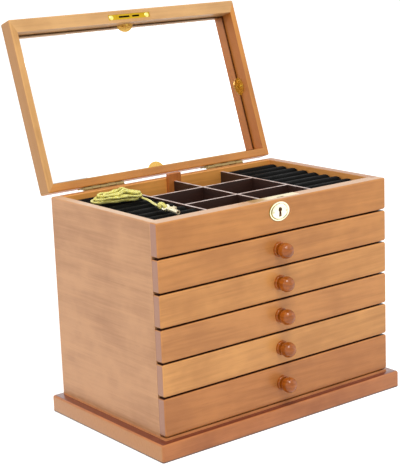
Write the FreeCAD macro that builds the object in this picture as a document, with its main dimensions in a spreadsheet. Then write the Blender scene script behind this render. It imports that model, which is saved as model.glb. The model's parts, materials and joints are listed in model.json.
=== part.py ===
import FreeCAD, Part
import math
import os
import re

import Sketcher
from FreeCAD import Placement, Rotation, Vector

# Jewelry chest: a case of five drawers under a tray, with a mirror lid, on a wide plinth.
# Millimetres. X runs to the right of the front, Y from the front to the back and Z up.
# The origin is on the plinth's underside, at the middle of the case's width and depth.

SIZES = {
    # case
    "case_width": 320.0,
    "case_depth": 198.5,
    "case_height": 230.0,
    "side_wall": 11.0,
    "back_wall": 10.0,
    "board_round": 1.8,
    "rim_front_width": 17.0,
    "rim_inner_round": 0.9,
    "floor_thick": 3.5,
    "bottom_thick": 2.5,
    # plinth, and how far it stands out of the case
    "plinth_height": 19.5,
    "plinth_side": 11.0,
    "plinth_front": 9.0,
    "plinth_back": 6.5,
    "plinth_corner": 4.0,
    "plinth_edge": 1.2,
    # fronts
    "front_thick": 10.0,
    "front_corner": 2.6,
    "front_seat_gap": 0.3,
    "front_gap": 1.8,
    "top_board_height": 36.0,
    "drawer_pitch": 36.8,
    "bottom_gap": 3.5,
    # drawer boxes and the thin panels that carry them
    "panel_thick": 4.0,
    "slide_gap": 0.3,
    "box_side_gap": 1.0,
    "box_top_gap": 2.5,
    "drawer_back_room": 3.5,
    "box_wall": 8.0,
    "box_bottom": 3.0,
    "lining_thick": 1.2,
    "lining_drop": 1.0,
    # knobs
    "collar_radius": 8.2,
    "collar_length": 3.0,
    "collar_round": 1.1,
    "neck_radius": 5.0,
    "ball_radius": 8.6,
    "ball_stand": 11.0,
    "knob_lift": 0.8,
    "tenon_radius": 4.0,
    # tray
    "divider_thick": 3.0,
    "divider_drop": 3.8,
    "divider_side": 73.25,
    "cross_divider": 31.0,
    "halving_gap": 0.1,
    "block_width": 17.5,
    "block_thick": 5.0,
    "block_rise": 5.5,
    "pad_gap": 0.3,
    "pad_drop": 3.0,
    "roll_depth": 16.0,
    "roll_crown": 7.4,
    "roll_gap": 1.3,
    # lid
    "lid_angle": 108.6,
    "lid_gap": 0.5,
    "lid_frame": 19.5,
    "lid_front_rail": 15.0,
    "lid_rear_rail": 9.4,
    "lid_stile": 8.0,
    "lid_top_thick": 6.0,
    "lid_top_inset": 1.0,
    "lid_top_bevel": 8.0,
    "lid_top_edge": 1.0,
    "mirror_thick": 2.5,
    "mirror_gap": 0.2,
    # mirror clips
    "clip_width": 23.0,
    "clip_lip": 8.0,
    "clip_leg": 8.5,
    "clip_thick": 0.7,
    "clip_side_reach": 92.4,
    "clip_front_shift": 3.0,
    "nail_drop": 4.7,
    "nail_radius": 1.3,
    "nail_length": 6.0,
    # hinges
    "hinge_inset": 72.2,
    "hinge_length": 54.0,
    "hinge_rise": 0.9,
    "hinge_leaf": 13.0,
    "hinge_screw_row": 8.5,
    "leaf_thick": 1.2,
    "stop_near": 1.5,
    "stop_far": 5.5,
    "stop_thick": 1.2,
    "stop_gap": 0.05,
    "knuckle_radius": 2.2,
    "knuckle_gap": 0.3,
    "pin_radius": 1.0,
    "pin_clearance": 0.05,
    "screw_spread": 20.0,
    "screw_head": 2.1,
    "screw_shank": 1.0,
    "screw_length": 7.0,
    # lock
    "lock_offset": 1.5,
    "selvage_shift": 1.3,
    "post_drop": 11.0,
    "hook_setback": 8.25,
    "hook_thick": 1.4,
    "hook_inner": 13.6,
    "hook_outer": 16.6,
    "hook_tip": 33.0,
    "hook_sweep": 60.0,
    "hook_arm": 16.0,
    "hook_root": 1.0,
    "hub_radius": 4.4,
    "hub_lug": 1.6,
    "hub_lug_sweep": 64.0,
    "post_radius": 1.3,
    "post_clearance": 0.08,
    "hook_slot_near": 4.2,
    "hook_slot_far": 14.4,
    "hook_slot_width": 2.4,
    "lock_width": 40.0,
    "lock_height": 26.0,
    "lock_thick": 11.25,
    "lock_wall": 1.2,
    "selvage_length": 65.0,
    "selvage_thick": 1.2,
    "keyhole_radius": 2.5,
    "keyhole_neck": 2.6,
    "keyhole_foot": 3.6,
    "keyhole_drop": 7.7,
    "escutcheon_width": 28.2,
    "escutcheon_height": 21.2,
    "escutcheon_drop": 2.2,
    "escutcheon_base": 0.8,
    "escutcheon_bead": 1.1,
    "escutcheon_step": 1.2,
    "bead_width": 2.6,
    "escutcheon_pin": 9.2,
    "escutcheon_pin_radius": 0.9,
    # strike plate
    "strike_length": 59.2,
    "strike_shift": 1.1,
    "strike_width": 6.4,
    "strike_thick": 1.0,
    "strike_recess": 0.4,
    "strike_slot": 2.2,
    "strike_left_slot": 14.9,
    "strike_right_slot": 9.9,
    "strike_bridge": 4.1,
    "strike_bridge_shift": 2.0,
    "strike_screw": 25.3,
    "strike_head": 2.9,
    "strike_head_rise": 0.6,
    "hook_room": 0.5,
    "hook_room_wall": 1.0,
    # key
    "key_reach": 25.0,
    "key_bow": 3.4,
    "key_bow_wire": 1.2,
    "key_barrel": 2.3,
    "key_bore": 1.5,
    "key_bore_depth": 12.0,
    "key_collar": 2.9,
    "key_bit_back": 10.0,
    "key_bit_length": 5.6,
    "key_bit_height": 5.2,
    "key_bit_root": 0.3,
    "key_bit_thick": 1.8,
    # cord
    "cord_thick": 2.6,
    "cord_step": 3.1,
    "hank_turn": 10.4,
    "hank_run": 33.0,
    "cord_lead": 5.0,
    "loop_radius": 3.4,
    "knot_radius": 3.1,
}

doc = FreeCAD.newDocument("jewelry_chest")
sheet = doc.addObject("Spreadsheet::Sheet", "Size")
for row, (alias, number) in enumerate(SIZES.items(), start=1):
    sheet.set(f"A{row}", alias)
    sheet.set(f"B{row}", str(number))
    sheet.setAlias(f"B{row}", alias)
doc.recompute()

# Places that follow from the sizes, as text for expressions
FRONT = "(-case_depth / 2)"
BACK = "(case_depth / 2)"
LEFT = "(-case_width / 2)"
RIGHT = "(case_width / 2)"
RIM = "(plinth_height + case_height)"
CASE_FLOOR = "(plinth_height + bottom_thick)"
SIDE_FRONT = f"({FRONT} + front_thick + front_seat_gap)"
FRONT_BACK = f"({FRONT} + front_thick)"
TRAY_LEFT = f"({LEFT} + side_wall)"
TRAY_RIGHT = f"({RIGHT} - side_wall)"
TRAY_FRONT = f"({FRONT} + rim_front_width)"
TRAY_BACK = f"({BACK} - back_wall)"
TRAY_UNDER = f"({RIM} - top_board_height)"
TRAY_FLOOR = f"({TRAY_UNDER} + floor_thick)"
DIVIDER_TOP = f"({RIM} - divider_drop)"
DIVIDER_HALF = "(divider_thick / 2)"
POST_Z = f"({RIM} - post_drop)"
HOOK_Y = f"({FRONT} + hook_setback)"
HINGE_Y = f"({BACK} + knuckle_radius + knuckle_gap)"
HINGE_Z = f"({RIM} + hinge_rise)"

# The lid's own frame: its origin on the hinge axis, its axes those of the closed lid
LID_FACE = "(lid_gap - hinge_rise)"
LID_TOP = f"({LID_FACE} + lid_frame)"
LID_BACK = "(-knuckle_radius - knuckle_gap)"
LID_FRONT = f"({LID_BACK} - case_depth)"
MIRROR_FACE = f"({LID_TOP} - mirror_thick)"
MIRROR_LEFT = f"({LEFT} + lid_stile)"
MIRROR_RIGHT = f"({RIGHT} - lid_stile)"
MIRROR_FRONT = f"({LID_FRONT} + lid_front_rail)"
MIRROR_BACK = f"({LID_BACK} - lid_rear_rail)"

DRAWERS = 5
# How far a cutting box runs past the face that it opens
OVER = "1"

parts = {}


def ex(text):
    """An expression: each word of the text is an alias on the sheet."""
    return re.sub(r"\b[a-z][a-z_]+\b", r"Size.\g<0>", text)


def val(text):
    """The number that an expression gives now."""
    return float(sheet.evalExpression(ex(text)))


def turn_open(thing):
    """Turn a thing made in the lid's own frame as the open lid is turned."""
    thing.Placement = Placement(Vector(), Rotation(Vector(1, 0, 0), -1))
    thing.setExpression("Placement.Base.y", ex(HINGE_Y))
    thing.setExpression("Placement.Base.z", ex(HINGE_Z))
    thing.setExpression("Placement.Rotation.Angle", ex("-lid_angle"))
    return thing


def keep(label, thing, in_lid=False):
    """Name a finished sub-part, and turn it with the open lid where it belongs to the lid."""
    thing.Label = label
    parts[label] = turn_open(thing) if in_lid else thing


# Primitives and booleans


def put(thing, corner):
    for axis, text in zip("xyz", corner):
        thing.setExpression(f"Placement.Base.{axis}", ex(text))
    return thing


def box(name, x_span, y_span, z_span):
    """A box between two places along each axis."""
    thing = doc.addObject("Part::Box", name)
    for side, (low, high) in zip(("Length", "Width", "Height"), (x_span, y_span, z_span)):
        thing.setExpression(side, ex(f"{high} - {low}"))
    return put(thing, [x_span[0], y_span[0], z_span[0]])


def rod(name, centre, radius, length, axis=Vector(0, 0, 1), tip=None):
    """A round rod, or a cone where a tip radius is given, from its centre along an axis."""
    if tip is None:
        thing = doc.addObject("Part::Cylinder", name)
        thing.setExpression("Radius", ex(radius))
    else:
        thing = doc.addObject("Part::Cone", name)
        thing.setExpression("Radius1", ex(radius))
        thing.setExpression("Radius2", ex(tip))
    thing.setExpression("Height", ex(length))
    thing.Placement = Placement(Vector(), Rotation(Vector(0, 0, 1), axis))
    return put(thing, centre)


def fuse(name, things):
    thing = doc.addObject("Part::MultiFuse", name)
    thing.Shapes = list(things)
    return thing


def cut(name, base, tools):
    thing = doc.addObject("Part::Cut", name)
    thing.Base = base
    thing.Tool = tools[0] if len(tools) == 1 else fuse(name + "_tools", tools)
    return thing


def common(name, base, tool):
    thing = doc.addObject("Part::Common", name)
    thing.Base = base
    thing.Tool = tool
    return thing


def oval(name, width, height, thick, centre):
    """An elliptical plate that stands out towards the front from its centre's plane."""
    ellipse = doc.addObject("Part::Ellipse", name + "_outline")
    ellipse.setExpression("MajorRadius", ex(f"({width}) / 2"))
    ellipse.setExpression("MinorRadius", ex(f"({height}) / 2"))
    ellipse.Placement = Placement(Vector(), Rotation(Vector(1, 0, 0), 90))
    put(ellipse, centre)
    plate = doc.addObject("Part::Extrusion", name)
    plate.Base = ellipse
    plate.DirMode = "Custom"
    plate.Dir = Vector(0, -1, 0)
    plate.setExpression("LengthFwd", ex(thick))
    plate.Solid = True
    return plate


# Bodies, sketches and features


def new_body(name):
    return doc.addObject("PartDesign::Body", name)


def new_sketch(body, role, offset="0"):
    """A sketch on one of the body's origin planes, moved along the plane's normal."""
    sketch = body.newObject("Sketcher::SketchObject", body.Name + "_sketch")
    plane = next(item for item in body.Origin.OriginFeatures if item.Role == role)
    sketch.AttachmentSupport = [(plane, "")]
    sketch.MapMode = "FlatFace"
    sketch.setExpression("AttachmentOffset.Base.z", ex(offset))
    return sketch


def pin_point(sketch, line, point, place):
    """Fix a point of the sketch at a place given by two expressions."""
    for kind, axis, text in zip(("DistanceX", "DistanceY"), (-2, -1), place):
        number = val(text)
        if abs(number) < 1e-9:
            sketch.addConstraint(Sketcher.Constraint("PointOnObject", line, point, axis))
        elif number > 0:
            index = sketch.addConstraint(Sketcher.Constraint(kind, -1, 1, line, point, number))
            sketch.setExpression(f"Constraints[{index}]", ex(text))
        else:
            index = sketch.addConstraint(Sketcher.Constraint(kind, line, point, -1, 1, -number))
            sketch.setExpression(f"Constraints[{index}]", ex(f"-({text})"))


def draw_outline(sketch, corners):
    """A closed outline of straight lines through the corners."""
    spots = [Vector(val(x), val(y), 0) for x, y in corners]
    first = sketch.GeometryCount
    count = len(spots)
    for index, spot in enumerate(spots):
        sketch.addGeometry(Part.LineSegment(spot, spots[(index + 1) % count]), False)
    for index in range(count):
        after = first + (index + 1) % count
        sketch.addConstraint(Sketcher.Constraint("Coincident", first + index, 2, after, 1))
    for index, corner in enumerate(corners):
        pin_point(sketch, first + index, 1, corner)


def draw_circle(sketch, centre, radius):
    spot = Vector(val(centre[0]), val(centre[1]), 0)
    line = sketch.addGeometry(Part.Circle(spot, Vector(0, 0, 1), val(radius)), False)
    pin_point(sketch, line, 3, centre)
    index = sketch.addConstraint(Sketcher.Constraint("Radius", line, val(radius)))
    sketch.setExpression(f"Constraints[{index}]", ex(radius))


def rectangle(x_span, y_span):
    return [(x_span[0], y_span[0]), (x_span[1], y_span[0]), (x_span[1], y_span[1]), (x_span[0], y_span[1])]


def pad(body, sketch, length, reverse=False, midplane=False):
    feature = body.newObject("PartDesign::Pad", body.Name + "_pad")
    feature.Profile = sketch
    feature.setExpression("Length", ex(length))
    feature.Reversed = reverse
    feature.Midplane = midplane
    return feature


def pocket(body, sketch, length, reverse=False):
    """A pocket of a given depth; it must take material away."""
    doc.recompute()
    before = body.Shape.Volume
    feature = body.newObject("PartDesign::Pocket", body.Name + "_pocket")
    feature.Profile = sketch
    feature.setExpression("Length", ex(length))
    feature.Reversed = reverse
    doc.recompute()
    if body.Shape.Volume > before - 1e-6:
        raise ValueError(f"the pocket in {body.Name} cuts nothing")
    return feature


def revolve(body, sketch, axis):
    feature = body.newObject("PartDesign::Revolution", body.Name + "_turning")
    feature.Profile = sketch
    feature.ReferenceAxis = (sketch, [axis])
    feature.Angle = 360
    return feature


def round_edges(body, radius, wanted):
    """Round the edges whose middle and direction the test wants."""
    doc.recompute()
    base = body.Tip
    names = []
    for index, edge in enumerate(base.Shape.Edges, start=1):
        middle = edge.valueAt((edge.FirstParameter + edge.LastParameter) / 2)
        chord = edge.lastVertex().Point - edge.firstVertex().Point
        if wanted(middle, chord / max(chord.Length, 1e-6)):
            names.append(f"Edge{index}")
    feature = body.newObject("PartDesign::Fillet", body.Name + "_round")
    feature.Base = (base, names)
    feature.setExpression("Radius", ex(radius))
    return feature


def near(number, text):
    return abs(number - val(text)) < 1e-6


def upright(direction):
    return abs(direction.z) > 0.99


def front_to_back(direction):
    return abs(direction.y) > 0.99


def board(name, x_span, y_span, z_span):
    """A rectangular board, padded up from a sketch of its plan."""
    body = new_body(name)
    sketch = new_sketch(body, "XY_Plane", z_span[0])
    draw_outline(sketch, rectangle(x_span, y_span))
    pad(body, sketch, f"{z_span[1]} - {z_span[0]}")
    return body


# Plinth


def make_plinth():
    x_span = (f"{LEFT} - plinth_side", f"{RIGHT} + plinth_side")
    y_span = (f"{FRONT} - plinth_front", f"{BACK} + plinth_back")
    body = board("Plinth", x_span, y_span, ("0", "plinth_height"))
    round_edges(body, "plinth_corner", lambda middle, direction: upright(direction))
    ends = ("0", "plinth_height")
    round_edges(body, "plinth_edge", lambda middle, direction: any(near(middle.z, end) for end in ends))
    keep("plinth", body)


# Case: its walls are cut from one envelope, so the rounded rim runs on from board to board


def make_envelope():
    body = board("Envelope", (LEFT, RIGHT), (FRONT, BACK), ("plinth_height", RIM))
    round_edges(body, "board_round", lambda middle, direction: upright(direction) or near(middle.z, RIM))
    sketch = new_sketch(body, "XY_Plane", RIM)
    draw_outline(sketch, rectangle((TRAY_LEFT, TRAY_RIGHT), (TRAY_FRONT, TRAY_BACK)))
    pocket(body, sketch, "case_height")

    def inner_rim(middle, direction):
        inside = val(TRAY_LEFT) - 0.1 < middle.x < val(TRAY_RIGHT) + 0.1
        inside = inside and val(TRAY_FRONT) - 0.1 < middle.y < val(TRAY_BACK) + 0.1
        return inside and near(middle.z, RIM)

    round_edges(body, "rim_inner_round", inner_rim)
    return body


def make_case():
    envelope = make_envelope()
    bottom = board("Bottom", (LEFT, RIGHT), (FRONT, BACK), ("plinth_height", CASE_FLOOR))
    round_edges(bottom, "board_round", lambda middle, direction: upright(direction))
    keep("bottom_board", bottom)

    height = (CASE_FLOOR, RIM)
    depth = (SIDE_FRONT, BACK)
    left = box("SideLeft", (LEFT, TRAY_LEFT), depth, height)
    keep("side_left", common("SideLeftRounded", left, envelope))
    right = box("SideRight", (TRAY_RIGHT, RIGHT), depth, height)
    keep("side_right", common("SideRightRounded", right, envelope))

    back = box("Back", (TRAY_LEFT, TRAY_RIGHT), (TRAY_BACK, BACK), height)
    rounded_back = common("BackRounded", back, envelope)
    keep("back_panel", cut("BackDrilled", rounded_back, [hinge_screws("BackPilots", case=True)]))

    inside = (TRAY_LEFT, TRAY_RIGHT)
    floor_depth = (TRAY_FRONT, TRAY_BACK)
    keep("tray_floor", box("TrayFloor", inside, floor_depth, (TRAY_UNDER, TRAY_FLOOR)))

    upper = board("TopBoard", (LEFT, RIGHT), (FRONT, SIDE_FRONT), (TRAY_UNDER, RIM))

    def low_corner(middle, direction):
        return near(middle.z, TRAY_UNDER) and front_to_back(direction)

    def front_low(middle, direction):
        return middle.z < val(f"{TRAY_UNDER} + front_corner") and near(middle.y, FRONT)

    round_edges(upper, "front_corner", low_corner)
    round_edges(upper, "board_round", front_low)
    rounded_upper = common("TopBoardRounded", upper, envelope)
    tools = [lock_room("TopBoardMortise"), keyhole("TopBoardKeyhole", FRONT, "front_thick")]
    tools.append(escutcheon_pins("TopBoardPinHoles"))
    keep("top_front_board", cut("TopBoardCut", rounded_upper, tools))

    rail = box("InnerRail", inside, (SIDE_FRONT, TRAY_FRONT), (TRAY_UNDER, RIM))
    rounded_rail = common("InnerRailRounded", rail, envelope)
    keep("inner_front_rail", cut("InnerRailCut", rounded_rail, [lock_room("InnerRailMortise")]))


# Drawers


def front_top(number):
    return f"({TRAY_UNDER} - front_gap - {number} * drawer_pitch)"


def front_bottom(number):
    if number == DRAWERS - 1:
        return "(plinth_height + bottom_gap)"
    return f"({front_top(number + 1)} + front_gap)"


def panel_middle(number):
    """The middle of the thin panel under a drawer."""
    return f"({front_top(number + 1)} + front_gap / 2)"


def bay_floor(number):
    if number == DRAWERS - 1:
        return CASE_FLOOR
    return f"({panel_middle(number)} + panel_thick / 2)"


def bay_ceiling(number):
    if number == 0:
        return TRAY_UNDER
    return f"({panel_middle(number - 1)} - panel_thick / 2)"


def make_dust_panels():
    panels = []
    for number in range(DRAWERS - 1):
        span = (f"({bay_floor(number)} - panel_thick)", bay_floor(number))
        panels.append(box(f"Panel{number}", (TRAY_LEFT, TRAY_RIGHT), (SIDE_FRONT, TRAY_BACK), span))
    keep("dust_panels", fuse("DustPanels", panels))


def make_drawer(number):
    label = f"drawer_{number + 1}"
    low, high = front_bottom(number), front_top(number)
    knob_z = f"(({low} + {high}) / 2 + knob_lift)"

    front = board(f"Front{number}", (LEFT, RIGHT), (FRONT, FRONT_BACK), (low, high))
    round_edges(front, "front_corner", lambda middle, direction: front_to_back(direction))
    round_edges(front, "board_round", lambda middle, direction: near(middle.y, FRONT))
    hole = new_sketch(front, "XZ_Plane", f"-({FRONT_BACK})")
    draw_circle(hole, ("0", knob_z), "tenon_radius")
    pocket(front, hole, "front_thick", reverse=True)
    keep(f"{label}_front", front)

    x_span = (f"({TRAY_LEFT} + box_side_gap)", f"({TRAY_RIGHT} - box_side_gap)")
    y_span = (FRONT_BACK, f"({TRAY_BACK} - drawer_back_room)")
    z_span = (f"({bay_floor(number)} + slide_gap)", f"({bay_ceiling(number)} - box_top_gap)")
    case = board(f"Box{number}", x_span, y_span, z_span)
    inner_x = (f"({x_span[0]} + box_wall)", f"({x_span[1]} - box_wall)")
    inner_y = (f"({y_span[0]} + box_wall)", f"({y_span[1]} - box_wall)")
    floor = f"({z_span[0]} + box_bottom)"
    hollow = new_sketch(case, "XY_Plane", z_span[1])
    draw_outline(hollow, rectangle(inner_x, inner_y))
    pocket(case, hollow, f"{z_span[1]} - {floor}")
    keep(f"{label}_box", case)

    lining_top = f"({z_span[1]} - lining_drop)"
    lining = board(f"Lining{number}", inner_x, inner_y, (floor, lining_top))
    soft_x = (f"({inner_x[0]} + lining_thick)", f"({inner_x[1]} - lining_thick)")
    soft_y = (f"({inner_y[0]} + lining_thick)", f"({inner_y[1]} - lining_thick)")
    room = new_sketch(lining, "XY_Plane", lining_top)
    draw_outline(room, rectangle(soft_x, soft_y))
    pocket(lining, room, f"{lining_top} - {floor} - lining_thick")
    keep(f"{label}_lining", lining)

    make_knob(f"Knob{number}", f"{label}_knob", knob_z)


def make_knob(name, label, height):
    """A turned knob: tenon in the board, rounded collar, waist and ball."""
    body = new_body(name)
    sketch = new_sketch(body, "YZ_Plane")
    draw_outline(sketch, [
        (FRONT_BACK, "0"),
        (FRONT_BACK, "tenon_radius"),
        (FRONT, "tenon_radius"),
        (FRONT, "collar_radius"),
        (f"{FRONT} - collar_length", "collar_radius"),
        (f"{FRONT} - collar_length", "neck_radius"),
        (f"{FRONT} - ball_stand", "neck_radius"),
        (f"{FRONT} - ball_stand", "0"),
    ])
    revolve(body, sketch, "H_Axis")

    def collar_rim(middle, direction):
        radius = math.hypot(middle.x, middle.z)
        return near(radius, "collar_radius") and near(middle.y, f"{FRONT} - collar_length")

    round_edges(body, "collar_round", collar_rim)
    ball = body.newObject("PartDesign::AdditiveSphere", name + "_ball")
    ball.setExpression("Radius", ex("ball_radius"))
    ball.setExpression("Placement.Base.y", ex(f"{FRONT} - ball_stand"))
    body.setExpression("Placement.Base.z", ex(height))
    keep(label, body)


# Tray


def make_dividers():
    height = (TRAY_FLOOR, DIVIDER_TOP)
    whole = (TRAY_FRONT, TRAY_BACK)
    half = DIVIDER_HALF
    for side, place in (("left", "-divider_side"), ("right", "divider_side")):
        span = (f"({place} - {half})", f"({place} + {half})")
        keep(f"divider_{side}", box(f"Divider_{side}", span, whole, height))

    block_front = f"({TRAY_BACK} - block_thick)"
    middle = box("DividerMiddle", (f"-{half}", half), (TRAY_FRONT, block_front), height)
    half_height = f"(({TRAY_FLOOR} + {DIVIDER_TOP}) / 2)"
    notches = []
    for side, place in (("front", "-cross_divider"), ("rear", "cross_divider")):
        span = (f"({place} - {half})", f"({place} + {half})")
        wide = (f"({place} - {half} - halving_gap)", f"({place} + {half} + halving_gap)")
        notches.append(box(f"Notch_{side}", (f"-{half}", half), wide, (half_height, DIVIDER_TOP)))
        ends = (f"(-divider_side + {half})", f"(divider_side - {half})")
        cross = box(f"Cross_{side}", ends, span, height)
        gap = (f"(-{half} - halving_gap)", f"({half} + halving_gap)")
        slot = box(f"Slot_{side}", gap, span, (TRAY_FLOOR, half_height))
        keep(f"cross_divider_{side}", cut(f"CrossHalved_{side}", cross, [slot]))
    keep("divider_middle", cut("DividerHalved", middle, notches))

    across = ("-block_width / 2", "block_width / 2")
    block = board("Block", across, (block_front, TRAY_BACK), (TRAY_FLOOR, f"({RIM} + block_rise)"))
    round_edges(block, "rim_inner_round", lambda middle, direction: middle.z > val(RIM))
    keep("lid_guide_block", block)


def roll_section(x, y, half_width, top, crown, low):
    """One upright section of a ring roll: two straight sides under a rounded top."""
    left = Vector(x, y - half_width, low)
    right = Vector(x, y + half_width, low)
    left_top = Vector(x, y - half_width, top - crown)
    right_top = Vector(x, y + half_width, top - crown)
    edges = [
        Part.LineSegment(left, left_top).toShape(),
        Part.Arc(left_top, Vector(x, y, top), right_top).toShape(),
        Part.LineSegment(right_top, right).toShape(),
        Part.LineSegment(right, left).toShape(),
    ]
    return Part.Wire(edges)


ROLLS = 9
# How far in from its end a roll is, and how much smaller there, as shares of its crown
ROLL_END = ((0.0, 0.62), (0.13, 0.27), (0.4, 0.07), (0.85, 0.0))
# How much flatter the smaller sections are, and how deep the rolls are let into their base
ROLL_FLATTEN = 0.6
ROLL_ROOT = 1.0


def make_ring_pad(side, x_span):
    """Soft rolls side by side on one base, with rounded ends; rings go between the rolls."""
    gap = val("pad_gap")
    low_x = val(x_span[0]) + gap
    high_x = val(x_span[1]) - gap
    low_y = val(TRAY_FRONT) + gap
    high_y = val(TRAY_BACK) - gap
    floor = val(TRAY_FLOOR)
    top = val(f"{RIM} - pad_drop")
    base_top = top - val("roll_depth")
    crown = val("roll_crown")
    pitch = (high_y - low_y) / ROLLS
    half_width = (pitch - val("roll_gap")) / 2
    solid = Part.makeBox(high_x - low_x, high_y - low_y, base_top - floor, Vector(low_x, low_y, floor))
    for number in range(ROLLS):
        y = low_y + (number + 0.5) * pitch
        stations = [(low_x + inward * crown, shrink * crown) for inward, shrink in ROLL_END]
        stations += [(high_x - inward * crown, shrink * crown) for inward, shrink in reversed(ROLL_END)]
        wires = []
        for x, less in stations:
            arch = crown - ROLL_FLATTEN * less
            wires.append(roll_section(x, y, half_width - less, top - less, arch, base_top - ROLL_ROOT))
        solid = solid.fuse(Part.makeLoft(wires, True, True))
    pad_object = doc.addObject("Part::Feature", f"RingPad_{side}")
    pad_object.Shape = solid.removeSplitter()
    keep(f"ring_pad_{side}", pad_object)


# Lock


def lock_spans():
    """The lock case and its selvage plate, which lies flush in the rim."""
    middle = "(lock_offset + selvage_shift)"
    depth = (f"({TRAY_FRONT} - lock_thick)", TRAY_FRONT)
    case_top = f"({RIM} - selvage_thick)"
    case_x = (f"({middle} - lock_width / 2)", f"({middle} + lock_width / 2)")
    plate_x = (f"({middle} - selvage_length / 2)", f"({middle} + selvage_length / 2)")
    case = (case_x, depth, (f"({case_top} - lock_height)", case_top))
    plate = (plate_x, depth, (case_top, RIM))
    return case, plate


def lock_room(name):
    """The mortise that takes the lock case and the selvage plate."""
    case, plate = lock_spans()
    return fuse(name, [box(name + "_case", *case), box(name + "_plate", *plate)])


def keyhole(name, front, depth):
    """A round hole round the key post with a slot below it that widens downwards."""
    hole = rod(name + "_round", ("lock_offset", front, POST_Z), "keyhole_radius", depth, Vector(0, 1, 0))
    slot = doc.addObject("Part::Wedge", name + "_slot")
    slot.Placement = Placement(Vector(), Rotation(Vector(1, 0, 0), 90))
    sides = {
        "Xmin": "-keyhole_foot / 2", "Xmax": "keyhole_foot / 2",
        "X2min": "-keyhole_neck / 2", "X2max": "keyhole_neck / 2",
        "Ymin": "0", "Ymax": "keyhole_drop",
        "Zmin": f"-({depth})", "Zmax": "0", "Z2min": f"-({depth})", "Z2max": "0",
    }
    for side, text in sides.items():
        slot.setExpression(side, ex(text))
    put(slot, ("lock_offset", front, f"({POST_Z} - keyhole_drop)"))
    return fuse(name, [hole, slot])


def make_lock():
    case, plate = lock_spans()
    body = fuse("LockBlank", [box("LockCase", *case), box("Selvage", *plate)])
    inner = [(f"({low} + lock_wall)", f"({high} - lock_wall)") for low, high in case]
    inner[2] = (inner[2][0], case[2][1])
    hollow = box("LockHollow", *inner)
    slot_x = ("(lock_offset + hook_slot_near)", "(lock_offset + hook_slot_far)")
    slot_y = (f"({HOOK_Y} - hook_slot_width / 2)", f"({HOOK_Y} + hook_slot_width / 2)")
    slot = box("SelvageSlot", slot_x, slot_y, (case[2][1], RIM))
    shell = cut("LockShell", body, [hollow, slot, keyhole("LockKeyhole", case[1][0], "lock_wall")])
    reach = f"({inner[1][1]} - {case[1][0]} - lock_wall / 2)"
    post = rod("KeyPost", ("lock_offset", inner[1][1], POST_Z), "post_radius", reach, Vector(0, -1, 0))
    keep("lock_body", fuse("LockBody", [shell, post]))


def sector(name, radius, start, sweep, thick, middle_y):
    """A slice of a disc round the key post, from a start angle, seen from the front."""
    thing = doc.addObject("Part::Cylinder", name)
    thing.setExpression("Radius", ex(radius))
    thing.setExpression("Height", ex(thick))
    thing.setExpression("Angle", ex(sweep))
    turn = Rotation(Vector(1, 0, 0), 90).multiply(Rotation(Vector(0, 0, 1), val(start)))
    thing.Placement = Placement(Vector(), turn)
    return put(thing, ("lock_offset", f"({middle_y} + {thick} / 2)", POST_Z))


def make_hook():
    """Hook bolt: a crescent on an arm round the key post, with a lug that the key's bit turns."""
    start = "(hook_tip - hook_sweep)"
    outer = sector("HookOuter", "hook_outer", start, "hook_sweep", "hook_thick", HOOK_Y)
    inner = sector("HookInner", "hook_inner", start, "hook_sweep", "hook_thick", HOOK_Y)
    crescent = cut("HookCrescent", outer, [inner])
    arm = sector("HookArm", "(hook_inner + hook_root)", start, "hook_arm", "hook_thick", HOOK_Y)
    hub = sector("HookHub", "hub_radius", start, "360", "hook_thick", HOOK_Y)
    lug_y = f"({HOOK_Y} + hook_thick / 2 + hub_lug / 2)"
    lug = sector("HookLug", "hub_radius", start, "hub_lug_sweep", "hub_lug", lug_y)
    whole = fuse("HookWhole", [crescent, arm, hub, lug])
    long = "(hook_thick + 2 * hub_lug)"
    bore = sector("HookBore", "(post_radius + post_clearance)", "0", "360", long, lug_y)
    keep("lock_hook", cut("Hook", whole, [bore]))


def escutcheon_pins(name):
    """Two pins that hold the escutcheon, with flat heads on its base."""
    pins = []
    height = f"({POST_Z} - escutcheon_drop)"
    for index, side in enumerate((-1, 1)):
        place = (f"(lock_offset + {side} * escutcheon_pin)", f"({FRONT} - escutcheon_bead)", height)
        into_wood = Vector(0, 1, 0)
        pins.append(rod(f"{name}_{index}", place, "escutcheon_pin_radius", "front_thick / 2", into_wood))
    return fuse(name, pins)


def make_escutcheon():
    centre = ("lock_offset", FRONT, f"({POST_Z} - escutcheon_drop)")
    base = oval("Escutcheon", "escutcheon_width", "escutcheon_height", "escutcheon_base", centre)
    inset_width = "escutcheon_width - 2 * escutcheon_step"
    inset_height = "escutcheon_height - 2 * escutcheon_step"
    bead = oval("Bead", inset_width, inset_height, "(escutcheon_base + escutcheon_bead)", centre)
    dish_width = f"({inset_width} - 2 * bead_width)"
    dish_height = f"({inset_height} - 2 * bead_width)"
    through = "(escutcheon_base + 2 * escutcheon_bead)"
    dish = oval("Dish", dish_width, dish_height, through, centre)
    ring = cut("BeadRing", bead, [dish])
    plate = fuse("EscutcheonPlate", [base, ring])
    hole = keyhole("EscutcheonKeyhole", f"({FRONT} - {through})", through)
    pinned = cut("EscutcheonHoled", plate, [hole, escutcheon_pins("EscutcheonPinHoles")])
    whole = doc.addObject("Part::Compound", "EscutcheonWithPins")
    whole.Links = [pinned, escutcheon_pins("EscutcheonPins")]
    keep("escutcheon", whole)


# Hinges: two stop hinges of five knuckles, their leaves screwed on the backs of the case and the lid


HINGES = {"left": f"({LEFT} + hinge_inset)", "right": f"({RIGHT} - hinge_inset)"}
KNUCKLES = 5
SCREWS = (-1, 0, 1)


def hinge_frame(case):
    """A leaf's axis, the back face of the wood it lies on, and which way it reaches from the axis."""
    if case:
        return (HINGE_Y, HINGE_Z), BACK, -1
    return ("0", "0"), LID_BACK, 1


def hinge_ends(middle):
    return f"({middle} - hinge_length / 2)", f"({middle} + hinge_length / 2)"


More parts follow.
